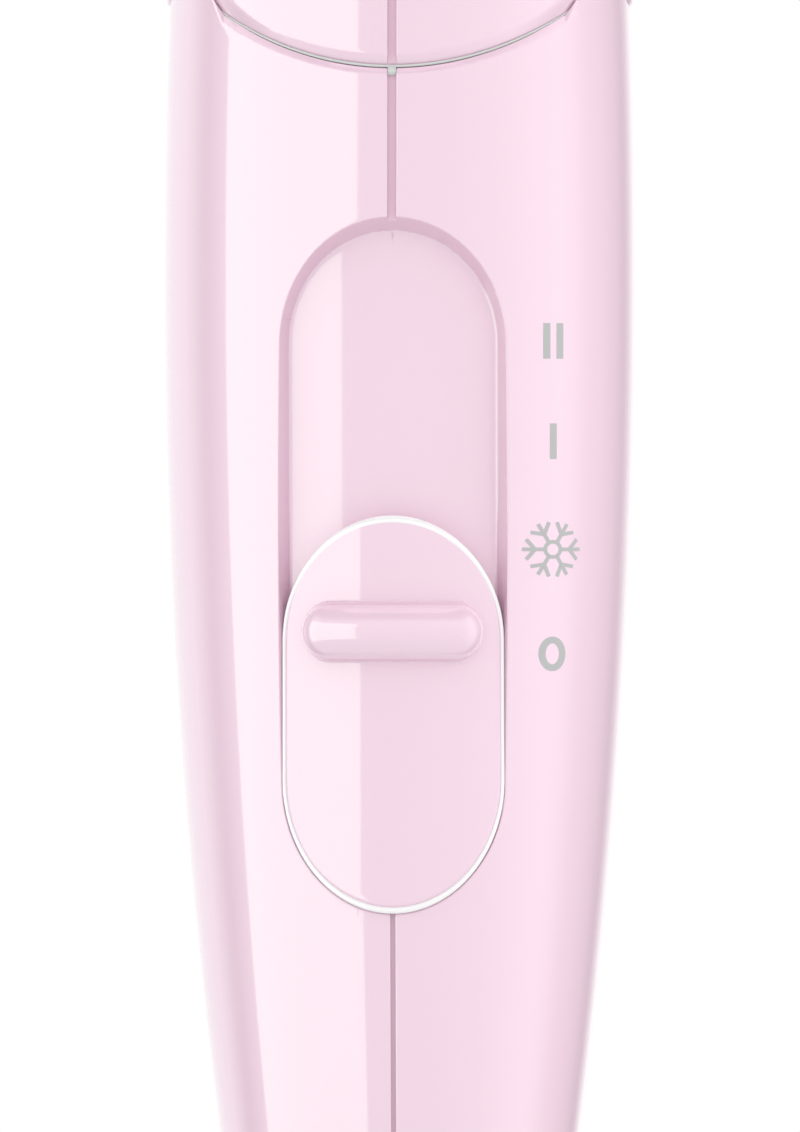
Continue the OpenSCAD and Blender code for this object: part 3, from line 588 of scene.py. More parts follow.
def split_faces(faces, added):
    """New triangles, where added holds the new point of each side, or -1."""
    marks = (added >= 0).sum(axis=1)
    made = [faces[marks == 0]]
    for count in (1, 2):
        pick = marks == count
        f, m = faces[pick].copy(), added[pick].copy()
        lead = np.argmax(m >= 0, axis=1) if count == 1 else (np.argmax(m < 0, axis=1) + 1) % 3
        order = (lead[:, None] + np.arange(3)) % 3
        f, m = np.take_along_axis(f, order, 1), np.take_along_axis(m, order, 1)
        a, b, c = f.T
        ab, bc = m[:, 0], m[:, 1]
        if count == 1:
            corners = ((a, ab, c), (ab, b, c))
        else:
            corners = ((ab, b, bc), (a, ab, bc), (a, bc, c))
        made += [np.column_stack(three) for three in corners]
    (a, b, c), (ab, bc, ca) = faces[marks == 3].T, added[marks == 3].T
    corners = ((a, ab, ca), (ab, b, bc), (ca, bc, c), (ab, bc, ca))
    made += [np.column_stack(three) for three in corners]
    return np.vstack(made)


def slope(solid, points, step=0.01 * MM):
    """Unit normals of a signed distance."""
    made = np.empty_like(points)
    for axis in range(3):
        shift = np.zeros(3)
        shift[axis] = step
        made[:, axis] = solid(points + shift) - solid(points - shift)
    return made / np.maximum(np.linalg.norm(made, axis=1, keepdims=True), 1e-12)


def settle(points, solid, rounds=6):
    """Points moved onto the surface of a solid, and the normals there."""
    for _ in range(rounds):
        points = points - solid(points)[:, None] * slope(solid, points)
    return points, slope(solid, points)


def refine(points, faces, sharp, solid, coarse, bend=14, least=0.06 * MM, rounds=12):
    """Rounds a mesh's sharp edges over: sides are split until they are no longer than coarse allows at
    their middles and their ends' normals agree within bend degrees, and every point that was on the
    sharp solid ends on the rounded one. No side shorter than least is split for its bend."""
    shaped = np.abs(sharp(points)) < ON_SKIN
    normals = np.zeros_like(points)
    points[shaped], normals[shaped] = settle(points[shaped], solid)
    agree = math.cos(math.radians(bend))
    for _ in range(rounds):
        pairs = np.sort(faces[:, [[0, 1], [1, 2], [2, 0]]].reshape(-1, 2), axis=1)
        edges, which = np.unique(pairs, axis=0, return_inverse=True)
        a, b = edges.T
        span = np.linalg.norm(points[a] - points[b], axis=1)
        turned = (normals[a] * normals[b]).sum(axis=1) < agree
        long = span > coarse((points[a] + points[b]) / 2)
        split = shaped[a] & shaped[b] & (long | (turned & (span > least)))
        if not split.any():
            break
        added = np.full(len(edges), -1)
        added[split] = len(points) + np.arange(split.sum())
        fresh = (points[a] + points[b])[split] / 2
        # a middle far off the solid lies across an inner step, and stays where it is
        on_skin = np.abs(solid(fresh)) < STRAY_SHARE * span[split] + STRAY_LEAST
        facing = np.zeros_like(fresh)
        fresh[on_skin], facing[on_skin] = settle(fresh[on_skin], solid)
        points = np.vstack([points, fresh])
        normals = np.vstack([normals, facing])
        shaped = np.append(shaped, on_skin)
        faces = split_faces(faces, added[which.reshape(-1, 3)])
    return points, faces, normals


def corner_normals(points, faces, normals):
    """A normal for each corner: the solid's where the face lies on it, and the face's own elsewhere."""
    a, b, c = (points[faces[:, k]] for k in range(3))
    own = np.cross(b - a, c - a)
    own /= np.maximum(np.linalg.norm(own, axis=1, keepdims=True), 1e-20)
    corner = normals[faces]
    flat = np.einsum("fck,fk->fc", corner, own) < math.cos(math.radians(60))
    corner[flat] = np.repeat(own[:, None], 3, axis=1)[flat]
    return corner.reshape(-1, 3)


def new_piece(name, points, faces, normals=None):
    """A mesh object made of points, faces and, where given, a normal for each corner."""
    mesh = bpy.data.meshes.new(name)
    mesh.from_pydata(points.tolist(), [], faces)
    mesh.update()
    mesh.shade_smooth()
    if normals is not None:
        mesh.normals_split_custom_set(normals.tolist())
    piece = bpy.data.objects.new(name, mesh)
    bpy.context.scene.collection.objects.link(piece)
    return piece


def finish_piece(piece, node, slot, *materials):
    """Gives a piece its materials and body, and lets it stand for its CAD node."""
    for material in materials:
        piece.data.materials.append(material)
    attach(piece, frame["nodes"][node]["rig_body"])
    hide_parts(node)
    return piece


def carry_piece(piece, node, material):
    """Gives an added piece its material, and lets it ride with a CAD node."""
    piece.data.materials.clear()
    piece.data.materials.append(material)
    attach(piece, frame["nodes"][node]["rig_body"])
    return piece


def dress(settings, node, name, solid, coarse=1.5 * MM, side=0, fine=None, painted_shade=None):
    """A finer copy of a CAD node whose visible edges are rounded as its solid says. Nothing crosses the
    middle where side is given. Faces that the painted_shade function finds take the second material, a
    deeper pink that paints shade. fine gives the longest side allowed at a point."""
    points, faces, normals = refine(
        *node_mesh(node), lambda p: solid(p, settings, 0.0), lambda p: solid(p, settings),
        lambda p: np.minimum(coarse, fine(p, settings)) if fine else coarse)
    if side:
        points[:, 0] = side * np.maximum(side * points[:, 0], 0)
    piece = new_piece(name, points, faces.tolist(), corner_normals(points, faces, normals))
    if painted_shade:
        shaded = painted_shade(points[faces].mean(axis=1), settings).astype(np.int32)
        piece.data.polygons.foreach_set("material_index", shaded)
    return piece


def tube_faces(steps, around):
    """Quads of a closed ring of sections, each a closed loop of points."""
    i, k = np.meshgrid(np.arange(steps), np.arange(around), indexing="ij")
    j, n = (i + 1) % steps, (k + 1) % around
    quads = np.stack([i * around + k, i * around + n, j * around + n, j * around + k], axis=-1)
    return quads.reshape(-1, 4).tolist()


def rod_faces(steps, around):
    """Faces of a row of sections with a closed face at both ends."""
    last = around * (steps - 1)
    ends = [list(range(around))[::-1], list(range(last, last + around))]
    return tube_faces(steps, around)[:-around] + ends


def joined(shells):
    """Several pairs of points and faces as one pair."""
    points, faces, count = [], [], 0
    for some_points, some_faces in shells:
        points.append(some_points)
        faces += [[count + corner for corner in face] for face in some_faces]
        count += len(some_points)
    return np.vstack(points), faces


# ---- pieces of their own ---------------------------------------------------------

def hinge_cap(handle, side, around=96):
    """Points and faces of a round cap over a hinge pin, whose face follows the handle."""
    radius, edge, rise = (CAPS_HIGH.z - CAPS_LOW.z) / 2, handle.cap_edge, handle.cap_rise
    turn = np.linspace(0, math.pi / 2, 6)
    flat = np.linspace(0.1, 1, 9)[:-1] * (radius - edge)
    rings = np.concatenate([flat, radius - edge + edge * np.sin(turn)])
    drop = np.concatenate([np.zeros(len(flat)), edge * (1 - np.cos(turn))])
    spin = 2 * math.pi * np.arange(around) / around
    y = rings[:, None] * np.cos(spin)
    z = HINGE_Z + rings[:, None] * np.sin(spin)
    x = np.sqrt((flank_radius(z, handle) + rise) ** 2 - y ** 2) - drop[:, None]
    # the last ring is the back end, inside the ear
    x = np.vstack([x, np.full(around, handle.cap_back)])
    y, z = np.vstack([y, y[-1:]]), np.vstack([z, z[-1:]])
    faces = rod_faces(len(x), around)
    return (np.stack([side * x, y, z], axis=-1).reshape(-1, 3),
            faces if side > 0 else [face[::-1] for face in faces])


def nozzle_shell(nozzle, quarter=32):
    """Points and faces of the nozzle: a round socket that flows into a flat mouth with rounded lips."""
    start, end = NOZZLE_LOW.y, NOZZLE_HIGH.y
    # sections lie close together up to 4 mm from the shoulder, and further apart from 6 mm on
    close, wide, last = 4 * MM, 6 * MM, 2 * MM
    softness = 0.04  # how softly the socket starts to flatten
    turn = np.linspace(0, math.pi / 2, 5)
    ahead, inward = nozzle.lip * (1 - np.sin(turn)), nozzle.lip * (1 - np.cos(turn))
    run = np.concatenate([
        [start + close, nozzle.shoulder - wide],
        np.linspace(nozzle.shoulder - close, nozzle.shoulder + close, 12),
        np.linspace(nozzle.shoulder + wide, end - last, 10)])
    along = np.concatenate([(start + ahead)[::-1], run, end - ahead])
    depth = np.concatenate([inward[::-1], np.zeros(len(run)), inward])
    # down the outside from the mouth to the socket, and back up the inside
    along = np.concatenate([along[::-1], along])
    depth = np.concatenate([depth[::-1], nozzle.wall - depth])
    part = (along - nozzle.shoulder) / (end - nozzle.shoulder)
    part = np.minimum((part + np.hypot(part, softness)) / 2, 1)
    socket, mouth = (NOZZLE_HIGH.z - NOZZLE_LOW.z) / 2, nozzle.mouth / 2
    reach = part * ((NOZZLE_HIGH.x - NOZZLE_LOW.x) / 2 - mouth)
    radius = (1 - part) * socket + part * mouth - depth
    corner = math.pi / 2 * radius
    far = (reach + corner)[:, None] * np.arange(quarter + 1) / quarter
    bent = np.minimum(far / radius[:, None], math.pi / 2)
    x = reach[:, None] + radius[:, None] * np.cos(bent) - np.maximum(far - corner[:, None], 0)
    z = radius[:, None] * np.sin(bent)
    x = np.hstack([x[:, :-1], -x[:, :0:-1], -x[:, :-1], x[:, :0:-1]])
    z = np.hstack([z[:, :-1], z[:, :0:-1], -z[:, :-1], -z[:, :0:-1]])
    y = np.repeat(along[:, None], x.shape[1], axis=1)
    points = np.stack([x, y, z + BARREL_Z], axis=-1).reshape(-1, 3)
    return points, tube_faces(len(along), 4 * quarter)


def cap_edge(slider, outward):
    """Where the cap's face meets its wall in each outward direction, in the track's frame, with the
    directions up from the face and along it."""
    none = np.zeros(len(outward))
    middle = (slider.cap_low + slider.cap_high) / 2
    straight = (slider.cap_high - slider.cap_low) / 2
    ends = middle + straight * np.clip(4 * outward[:, 2], -1, 1)
    depth = none
    for _ in range(6):
        half = slider.cap_half - slider.draft * depth
        depth = slider.cap_radius - slider.cap_rise - np.sqrt(
            slider.cap_radius ** 2 - (half * outward[:, 0]) ** 2)
    half = slider.cap_half - slider.draft * depth
    edge = np.column_stack([half * outward[:, 0], depth, ends + half * outward[:, 2]])
    up = np.column_stack([edge[:, 0], edge[:, 1] - slider.cap_radius + slider.cap_rise, none])
    up /= np.linalg.norm(up, axis=1, keepdims=True)
    along = outward - (outward * up).sum(axis=1, keepdims=True) * up
    along /= np.linalg.norm(along, axis=1, keepdims=True)
    return edge, up, along


def cap_reach(settings, edge, up, along):
    """How far the rounded cap reaches along its face, at its widest depth below the face."""
    handle, slider = settings.dryer_handle, settings.dryer_slider
    reach = np.full(len(edge), -1.0)
    for level in np.linspace(0.05, 0.9, 12) * MM:
        low, high = np.full(len(edge), -1.5 * MM), np.full(len(edge), 0.5 * MM)
        for _ in range(12):
            test = (low + high) / 2
            place = from_track(edge + test[:, None] * along - level * up, handle, slider)
            inside = cap_solid(place, settings) < 0
            low, high = np.where(inside, test, low), np.where(inside, high, test)
        reach = np.maximum(reach, low)
    return reach


def bead_ring(settings, steps=240, around=14):
    """Points and faces of the white bead that lies along the edge of the slider's cap, a painted highlight
    for that edge.
    """
    slider = settings.dryer_slider
    turn = 2 * math.pi * np.arange(steps) / steps
    outward = np.column_stack([np.sin(turn), np.zeros(steps), np.cos(turn)])
    edge, up, along = cap_edge(slider, outward)
    upper, lower = np.maximum(outward[:, 2], 0) ** 2, np.maximum(-outward[:, 2], 0) ** 2
    radius = slider.highlight_bead * (BEAD_SIDE + BEAD_UPPER * upper + BEAD_LOWER * lower)
    reach = cap_reach(settings, edge, up, along)
    out = reach + slider.bead_out + BEAD_LOWER_OUT * lower - radius
    centre = edge + out[:, None] * along - (radius - BEAD_RISE)[:, None] * up
    spin = 2 * math.pi * np.arange(around) / around
    ring = centre[:, None] + radius[:, None, None] * (
        np.cos(spin)[None, :, None] * up[:, None] + np.sin(spin)[None, :, None] * along[:, None])
    return from_track(ring.reshape(-1, 3), settings.dryer_handle, slider), tube_faces(steps, around)


def joint_key(handle, top):
    """Points and faces of the small key that fills the seam under the joint line."""
    back = -flank_radius(top, handle) + KEY_SUNK
    corners = np.array([
        [i, j, k] for i in (-KEY_HALF, KEY_HALF) for j in (0, KEY_DEPTH) for k in (-KEY_HEIGHT, 0)])
    sides = [[0, 1, 3, 2], [4, 6, 7, 5], [0, 4, 5, 1], [2, 3, 7, 6], [0, 2, 6, 4], [1, 5, 7, 3]]
    return corners + np.array([0, back, top]), sides


def joint_shade_strip(handle, steps=80, around=10):
    """Points and faces of the pale grey strip in the joint line, just inside the bevelled edge, as painted
    shade of the gap there, with the key under it.
    """
    x = np.linspace(-1, 1, steps) * (handle.knuckle + SPARE)
    z = np.full(steps, handle.joint_height)
    for _ in range(8):
        skin = flank_radius(z, handle) - handle.lip / BEVEL_STEEP - handle.shade_strip
        y = -np.sqrt(skin ** 2 - x ** 2)
        z = HINGE_Z - np.sqrt((knuckle_radius(x, handle) + handle.gap / 2) ** 2 - y ** 2)
    spin = 2 * math.pi * np.arange(around) / around
    y = y[:, None] + handle.shade_strip * np.cos(spin)
    z = z[:, None] + handle.shade_strip * np.sin(spin)
    points = np.stack([np.repeat(x[:, None], around, axis=1), y, z], axis=-1).reshape(-1, 3)
    key = joint_key(handle, z[steps // 2].mean())
    return joined([(points, rod_faces(steps, around)), key])


def printed(line, closed, stroke, marks, handle, height, level, pieces=6):
    """A printed stroke along a line of (across, up) places, laid on the handle as a thin solid."""
    line = np.array(line, float)
    if not closed:
        # short pieces, so that the stroke follows the round handle
        cuts = [np.linspace(a, b, pieces, endpoint=False) for a, b in zip(line[:-1], line[1:])]
        line = np.vstack(cuts + [line[-1:]])
    ahead = np.roll(line, -1, axis=0) - np.roll(line, 1, axis=0)
    if not closed:
        ahead[0], ahead[-1] = line[1] - line[0], line[-1] - line[-2]
    ahead /= np.linalg.norm(ahead, axis=1, keepdims=True)
    aside = np.column_stack([-ahead[:, 1], ahead[:, 0]]) * stroke / 2
    sections = []
    for shift, rise in ((1, level), (-1, level), (-1, -INK_ROOT), (1, -INK_ROOT)):
        u, v = (line + shift * aside).T
        z = height + v
        radius = flank_radius(z, handle)
        place = (marks.across + marks.stretch * u) / radius
        radius = radius + rise
        sections.append(np.column_stack([radius * np.sin(place), -radius * np.cos(place), z]))
    points = np.stack(sections, axis=1).reshape(-1, 3)
    faces = tube_faces if closed else rod_faces
    return points, faces(len(line), len(sections))


def mark_lines(marks):
    """The printed marks as lines about their middles: (height, closed, stroke, places)."""
    bold, fine = marks.stroke, marks.fine_stroke
    nought_half, nought_tall = 0.87 * MM, 1.17 * MM
    bar_tall, bar_space = 1.5 * MM, 0.55 * MM
    hub, arm = 0.64 * MM, 2.45 * MM
    fork_root, fork_tip, fork_side = 1.45 * MM, 2.15 * MM, 0.85 * MM
    turn = np.linspace(0, 2 * math.pi, 48, endpoint=False)

    def oval(half, tall):
        """Points of an oval, from its half width and half height."""
        return np.column_stack([half * np.cos(turn), tall * np.sin(turn)])

    made = [(marks.off_height, True, bold, oval(nought_half, nought_tall)),
            (marks.low_height, False, bold, [(0, -bar_tall), (0, bar_tall)])]
    for side in (-bar_space, bar_space):
        made.append((marks.high_height, False, bold, [(side, -bar_tall), (side, bar_tall)]))
    made.append((marks.cool_height, True, fine, oval(hub, hub)))
    for step in range(6):
        a = math.radians(60 * step)
        out, along = np.array([math.cos(a), math.sin(a)]), np.array([-math.sin(a), math.cos(a)])
        made.append((marks.cool_height, False, fine, [out * hub, out * arm]))
        for side in (-fork_side, fork_side):
            fork = [out * fork_root, out * fork_tip + along * side]
            made.append((marks.cool_height, False, fine, fork))
    return made


# ---- materials -------------------------------------------------------------------

def node_group(name, inputs, outputs):
    """An empty shader node group with named float or colour sockets."""
    group = bpy.data.node_groups.new(name, "ShaderNodeTree")
    for direction, sockets in (("INPUT", inputs), ("OUTPUT", outputs)):
        for label, kind, value in sockets:
            socket = group.interface.new_socket(
                name=label, in_out=direction, socket_type="NodeSocket" + kind)
            if value is not None:
                socket.default_value = value
    return group, group.nodes.new("NodeGroupInput"), group.nodes.new("NodeGroupOutput")


def add(tree, kind, settings=None, **inputs):
    """A node with its settings and its inputs' values or links."""
    node = tree.nodes.new(kind)
    for key, value in (settings or {}).items():
        setattr(node, key, value)
    for key, value in inputs.items():
        socket = node.inputs[int(key[1:])] if key[1:].isdigit() else node.inputs[key.replace("_", " ")]
        if isinstance(value, bpy.types.NodeSocket):
            tree.links.new(value, socket)
        else:
            socket.default_value = value
    return node


def sum_of(tree, kind, *values):
    """The outcome of a math node, fed with values or links."""
    made = add(tree, "ShaderNodeMath", {"operation": kind})
    for socket, value in zip(made.inputs, values):
        if isinstance(value, bpy.types.NodeSocket):
            tree.links.new(value, socket)
        else:
            socket.default_value = value
    return made.outputs[0]


def moulding_group():
    """Moulded plastic: a slow drift of tint, a faint ripple and fine handling dust."""
    group, given, out = node_group(
        "moulding",
        [("Colour", "Color", (0.8, 0.8, 0.8, 1)), ("Drift", "Float", 0.02), ("Polish", "Float", 0.1),
         ("Ripple size", "Float", 160.0), ("Dust", "Float", 0.3)],
        [("Colour", "Color", None), ("Roughness", "Float", None), ("Height", "Float", None)])
    dust_start, middle, ripple_share = 0.62, 0.5, 0.8
    place = add(group, "ShaderNodeTexCoord").outputs["Object"]
    slow = add(group, "ShaderNodeTexNoise", Vector=place, Scale=28.0, Detail=2.0).outputs[0]
    fine = add(group, "ShaderNodeTexNoise", Vector=place, Scale=given.outputs["Ripple size"],
               Detail=2.0).outputs[0]
    specks = add(group, "ShaderNodeTexNoise", Vector=place, Scale=2600.0, Detail=3.0).outputs[0]
    # only the brightest specks are dust
    dust = sum_of(group, "MULTIPLY", sum_of(group, "SUBTRACT", specks, dust_start), given.outputs["Dust"])
    dust = sum_of(group, "MAXIMUM", dust, 0.0)
    shift = sum_of(group, "MULTIPLY", sum_of(group, "SUBTRACT", slow, middle), given.outputs["Drift"])
    value = sum_of(group, "ADD", shift, 1.0)
    tint = add(group, "ShaderNodeHueSaturation", Value=value, Color=given.outputs["Colour"])
    rough = sum_of(group, "ADD", given.outputs["Polish"], dust)
    group.links.new(tint.outputs[0], out.inputs["Colour"])
    group.links.new(rough, out.inputs["Roughness"])
    height = sum_of(group, "ADD", sum_of(group, "MULTIPLY", fine, ripple_share), dust)
    group.links.new(height, out.inputs["Height"])
    return group


def turned_metal_group():
    """Metal with fine tool marks and a slow change of polish."""
    group, given, out = node_group(
        "turned_metal",
        [("Colour", "Color", (0.6, 0.6, 0.6, 1)), ("Polish", "Float", 0.25), ("Marks", "Float", 0.1)],
        [("Colour", "Color", None), ("Roughness", "Float", None), ("Height", "Float", None)])
    change, least, middle = 0.16, 0.92, 0.5
    place = add(group, "ShaderNodeTexCoord").outputs["Object"]
    long = add(group, "ShaderNodeMapping", {"vector_type": "POINT"}, Vector=place)
    long.inputs["Scale"].default_value = (4000, 600, 4000)
    lines = add(group, "ShaderNodeTexNoise", Vector=long.outputs[0], Scale=1.0, Detail=3.0).outputs[0]
    slow = add(group, "ShaderNodeTexNoise", Vector=place, Scale=90.0).outputs[0]
    value = sum_of(group, "ADD", sum_of(group, "MULTIPLY", slow, change), least)
    tint = add(group, "ShaderNodeHueSaturation", Value=value, Color=given.outputs["Colour"])
    marks = sum_of(group, "MULTIPLY", sum_of(group, "SUBTRACT", lines, middle), given.outputs["Marks"])
    group.links.new(tint.outputs[0], out.inputs["Colour"])
    group.links.new(sum_of(group, "ADD", given.outputs["Polish"], marks), out.inputs["Roughness"])
    group.links.new(lines, out.inputs["Height"])
    return group


def surface(name, group, colour_value, bump, bump_depth, principled, **inputs):
    """A material that feeds a shared group into one Principled shader. inputs are the group's values,
    and principled holds the shader's."""
    material = bpy.data.materials.new(name)
    material.use_nodes = True
    tree = material.node_tree
    shader = tree.nodes["Principled BSDF"]
    effect = add(tree, "ShaderNodeGroup", {"node_tree": group})
    effect.inputs["Colour"].default_value = (*colour_value, 1)
    for key, value in inputs.items():
        effect.inputs[key.replace("_", " ")].default_value = value
    raised = add(
        tree, "ShaderNodeBump", Strength=bump, Distance=bump_depth, Height=effect.outputs["Height"])
    tree.links.new(effect.outputs["Colour"], shader.inputs["Base Color"])
    tree.links.new(effect.outputs["Roughness"], shader.inputs["Roughness"])
    tree.links.new(raised.outputs[0], shader.inputs["Normal"])
    for key, value in principled.items():
        shader.inputs[key].default_value = value
    return material


def make_materials(finish):
    """Every material of the dryer, by its slot's name."""
    moulding, metal = moulding_group(), turned_metal_group()
    gloss = {"Coat Weight": 1.0, "Coat Roughness": 0.03, "Specular IOR Level": 0.6}
    # the bead's material glows faintly: painted light
    painted_glow = {**gloss, "Emission Color": (1, 1, 1, 1), "Emission Strength": 0.04}
    satin = {"Specular IOR Level": 0.5}
    shine = {"Metallic": 1.0}
    made = {}

    def plastic(slot, colour_value, bump, depth, principled, **inputs):
        """A moulded plastic, with the depth of its ripple in mm."""
        made[slot] = surface(slot, moulding, colour_value, bump, depth * MM, principled, **inputs)

    def bare_metal(slot, colour_value, bump, depth, **inputs):
        """A bare metal, with the depth of its tool marks in mm."""
        made[slot] = surface(slot, metal, colour_value, bump, depth * MM, shine, **inputs)

    # shade_pink is the shell's gloss plastic in a deeper pink: painted shade on the pocket's walls, in the
    # seam's line and round the bar's foot
    for slot, colour_value in (("shell_pink", finish.shell), ("slider_pink", finish.slider),
                               ("nozzle_pink", finish.shell), ("shade_pink", finish.painted_shade)):
        plastic(slot, colour_value, 0.03, 0.02, gloss, Drift=0.015, Polish=0.09, Dust=0.25)
    plastic("trim_pale", finish.trim, 0.1, 0.03, satin, Drift=0.03, Polish=0.32, Dust=0.6)
    plastic("bead_painted_highlight", finish.highlight_bead, 0.03, 0.02, painted_glow, Drift=0.01, Polish=0.09, Dust=0.2)
    plastic("joint_shade_grey", finish.shade_strip, 0.2, 0.02, satin, Drift=0.04, Polish=0.6, Dust=0.5)
    plastic("inner_pale", finish.inner_pale, 0.2, 0.03, satin, Drift=0.05, Polish=0.45, Dust=0.8)
    plastic("inner_dark", finish.inner, 0.3, 0.03, satin, Drift=0.2, Polish=0.42, Dust=0.9)
    plastic("board_green", finish.board, 0.3, 0.03, satin, Drift=0.2, Polish=0.3, Dust=0.8)
    plastic("mica", finish.mica, 0.4, 0.05, satin, Drift=0.3, Polish=0.35, Dust=0.9, Ripple_size=420.0)
    bare_metal("steel", finish.steel, 0.1, 0.01, Polish=0.24, Marks=0.2)
    bare_metal("contact_brass", finish.brass, 0.1, 0.01, Polish=0.28, Marks=0.2)
    bare_metal("heater_wire", finish.wire, 0.3, 0.02, Polish=0.45, Marks=0.3)
    plastic("ink", finish.ink, 0.2, 0.01, satin, Drift=0.04, Polish=0.5, Dust=0.5)
    return made


# ---- operators ---------------------------------------------------------------------

MATERIALS = {}
SIDES = ((-1, "left"), (1, "right"))
BEVELLED = ("inlet_grille", "outlet_collar", "cord_gland", "hanging_loop")


class DRYER_OT_materials(bpy.types.Operator):
    """Makes the plastics, metals and ink"""
    bl_idname = "dryer.materials"
    bl_label = "Materials"
    bl_options = {"REGISTER", "UNDO"}

    def execute(self, context):
        MATERIALS.update(make_materials(context.scene.dryer_finish))
        return {"FINISHED"}


class DRYER_OT_handle(bpy.types.Operator):
    """Makes the two halves of the handle with rounded edges, and the grey strip in the joint line that
    paints the gap's shade
    """
    bl_idname = "dryer.handle"
    bl_label = "Handle shells"
    bl_options = {"REGISTER", "UNDO"}

    def execute(self, context):
        settings = context.scene
        for side, word in SIDES:
            node = "handle_shell_" + word
            piece = dress(settings, node, "handle_" + word, handle_solid, side=side, painted_shade=handle_shade)
            # the second material paints shade on the pocket's walls and in the seam's line
            finish_piece(piece, node, "shell_pink", MATERIALS["shell_pink"], MATERIALS["shade_pink"])
        # a grey strip that paints the shade of the gap in the joint line
        shade_strip = new_piece("joint_shade_strip", *joint_shade_strip(settings.dryer_handle))
        carry_piece(shade_strip, "handle_shell_right", MATERIALS["joint_shade_grey"])
        return {"FINISHED"}


class DRYER_OT_barrel(bpy.types.Operator):
    """Makes the two halves of the barrel and neck with rounded edges"""
    bl_idname = "dryer.barrel"
    bl_label = "Barrel shells"
    bl_options = {"REGISTER", "UNDO"}

    def execute(self, context):
        for side, word in SIDES:
            node = "barrel_shell_" + word
            piece = dress(context.scene, node, "barrel_" + word, barrel_solid, side=side,
                          fine=barrel_fine, painted_shade=barrel_shade)
            # the second material paints shade in the seam's line
            finish_piece(piece, node, "shell_pink", MATERIALS["shell_pink"], MATERIALS["shade_pink"])
        return {"FINISHED"}


class DRYER_OT_slider(bpy.types.Operator):
    """Makes the slide switch's cap with its raised bar, and the white bead round the cap that paints its
    edge's highlight
    """
    bl_idname = "dryer.slider"
    bl_label = "Slider"
    bl_options = {"REGISTER", "UNDO"}

    def execute(self, context):
        piece = dress(context.scene, "slider_cap", "slider", cap_solid, coarse=0.8 * MM,
                      fine=bar_fine, painted_shade=bar_shade_line)
        # the second material paints the shade round the bar's foot
        finish_piece(piece, "slider_cap", "slider_pink", MATERIALS["slider_pink"], MATERIALS["shade_pink"])
        # a white bead that paints the highlight along the cap's edge
        highlight_bead = new_piece("slider_highlight_bead", *bead_ring(context.scene))
        carry_piece(highlight_bead, "slider_cap", MATERIALS["bead_painted_highlight"])
        return {"FINISHED"}


class DRYER_OT_marks(bpy.types.Operator):
    """Makes the printed marks beside the slider"""
    bl_idname = "dryer.marks"
    bl_label = "Printed marks"
    bl_options = {"REGISTER", "UNDO"}

    def execute(self, context):
        marks, handle = context.scene.dryer_marks, context.scene.dryer_handle
        strokes = []
        for index, (height, closed, stroke, line) in enumerate(mark_lines(marks)):
            level = marks.proud + INK_LAYER * (index % 4)
            strokes.append(printed(line, closed, stroke, marks, handle, height, level))
        piece = new_piece("printed_marks", *joined(strokes))
        piece.data.shade_flat()
        carry_piece(piece, "handle_shell_right", MATERIALS["ink"])
        return {"FINISHED"}


class DRYER_OT_hinge_caps(bpy.types.Operator):
    """Makes the round caps over the hinge pins"""
    bl_idname = "dryer.hinge_caps"
    bl_label = "Hinge caps"
    bl_options = {"REGISTER", "UNDO"}

    def execute(self, context):
        handle = context.scene.dryer_handle
        piece = new_piece("pin_caps", *joined(hinge_cap(handle, side) for side, word in SIDES))
        finish_piece(piece, "hinge_caps", "shell_pink", MATERIALS["shell_pink"])
        return {"FINISHED"}


class DRYER_OT_nozzle(bpy.types.Operator):
    """Makes the flat nozzle"""
    bl_idname = "dryer.nozzle"
    bl_label = "Nozzle"
    bl_options = {"REGISTER", "UNDO"}

    def execute(self, context):
        piece = new_piece("nozzle", *nozzle_shell(context.scene.dryer_nozzle))
        finish_piece(piece, "concentrator_nozzle", "nozzle_pink", MATERIALS["nozzle_pink"])
        return {"FINISHED"}


class DRYER_OT_carried(bpy.types.Operator):
    """Gives the remaining construction parts their materials, and the outer ones a narrow bevel"""
    bl_idname = "dryer.carried"
    bl_label = "Carried parts"
    bl_options = {"REGISTER", "UNDO"}

    def execute(self, context):
        for part in frame["record"]["subparts"]:
            node = frame["nodes"][part["node"]]
            if node.hide_render:
                continue
            node.data.materials.clear()
            node.data.materials.append(MATERIALS[part["material_slot"]])
            if part["node"] in BEVELLED:
                bevel_edges(node)
        return {"FINISHED"}


class DRYER_OT_stage(bpy.types.Operator):
    """Makes the floor, the lamps, the white surround and the camera"""
    bl_idname = "dryer.stage"
    bl_label = "Stage"
    bl_options = {"REGISTER", "UNDO"}

    def execute(self, context):
        stage = context.scene.dryer_stage
        make_floor(stage)
        make_surround(stage)
        make_lamps(stage)
        make_camera(stage)
        return {"FINISHED"}


def bevel_edges(node):
    """Rounds a small part's sharp edges with a narrow bevel."""
    weld = node.modifiers.new("weld", "WELD")
    weld.merge_threshold = 0.001 * MM
    bevel = node.modifiers.new("edge", "BEVEL")
    bevel.width, bevel.segments = 0.25 * MM, 2
    bevel.limit_method, bevel.angle_limit = "ANGLE", math.radians(40)
    bevel.harden_normals = True


# ---- studio --------------------------------------------------------------------------

AIM = Vector((0, 0, 75 * MM))
WHITE = (1, 1, 1, 1)
FLOOR_RADIUS = 6
FADE_START, FADE_END = 0.25, 0.6


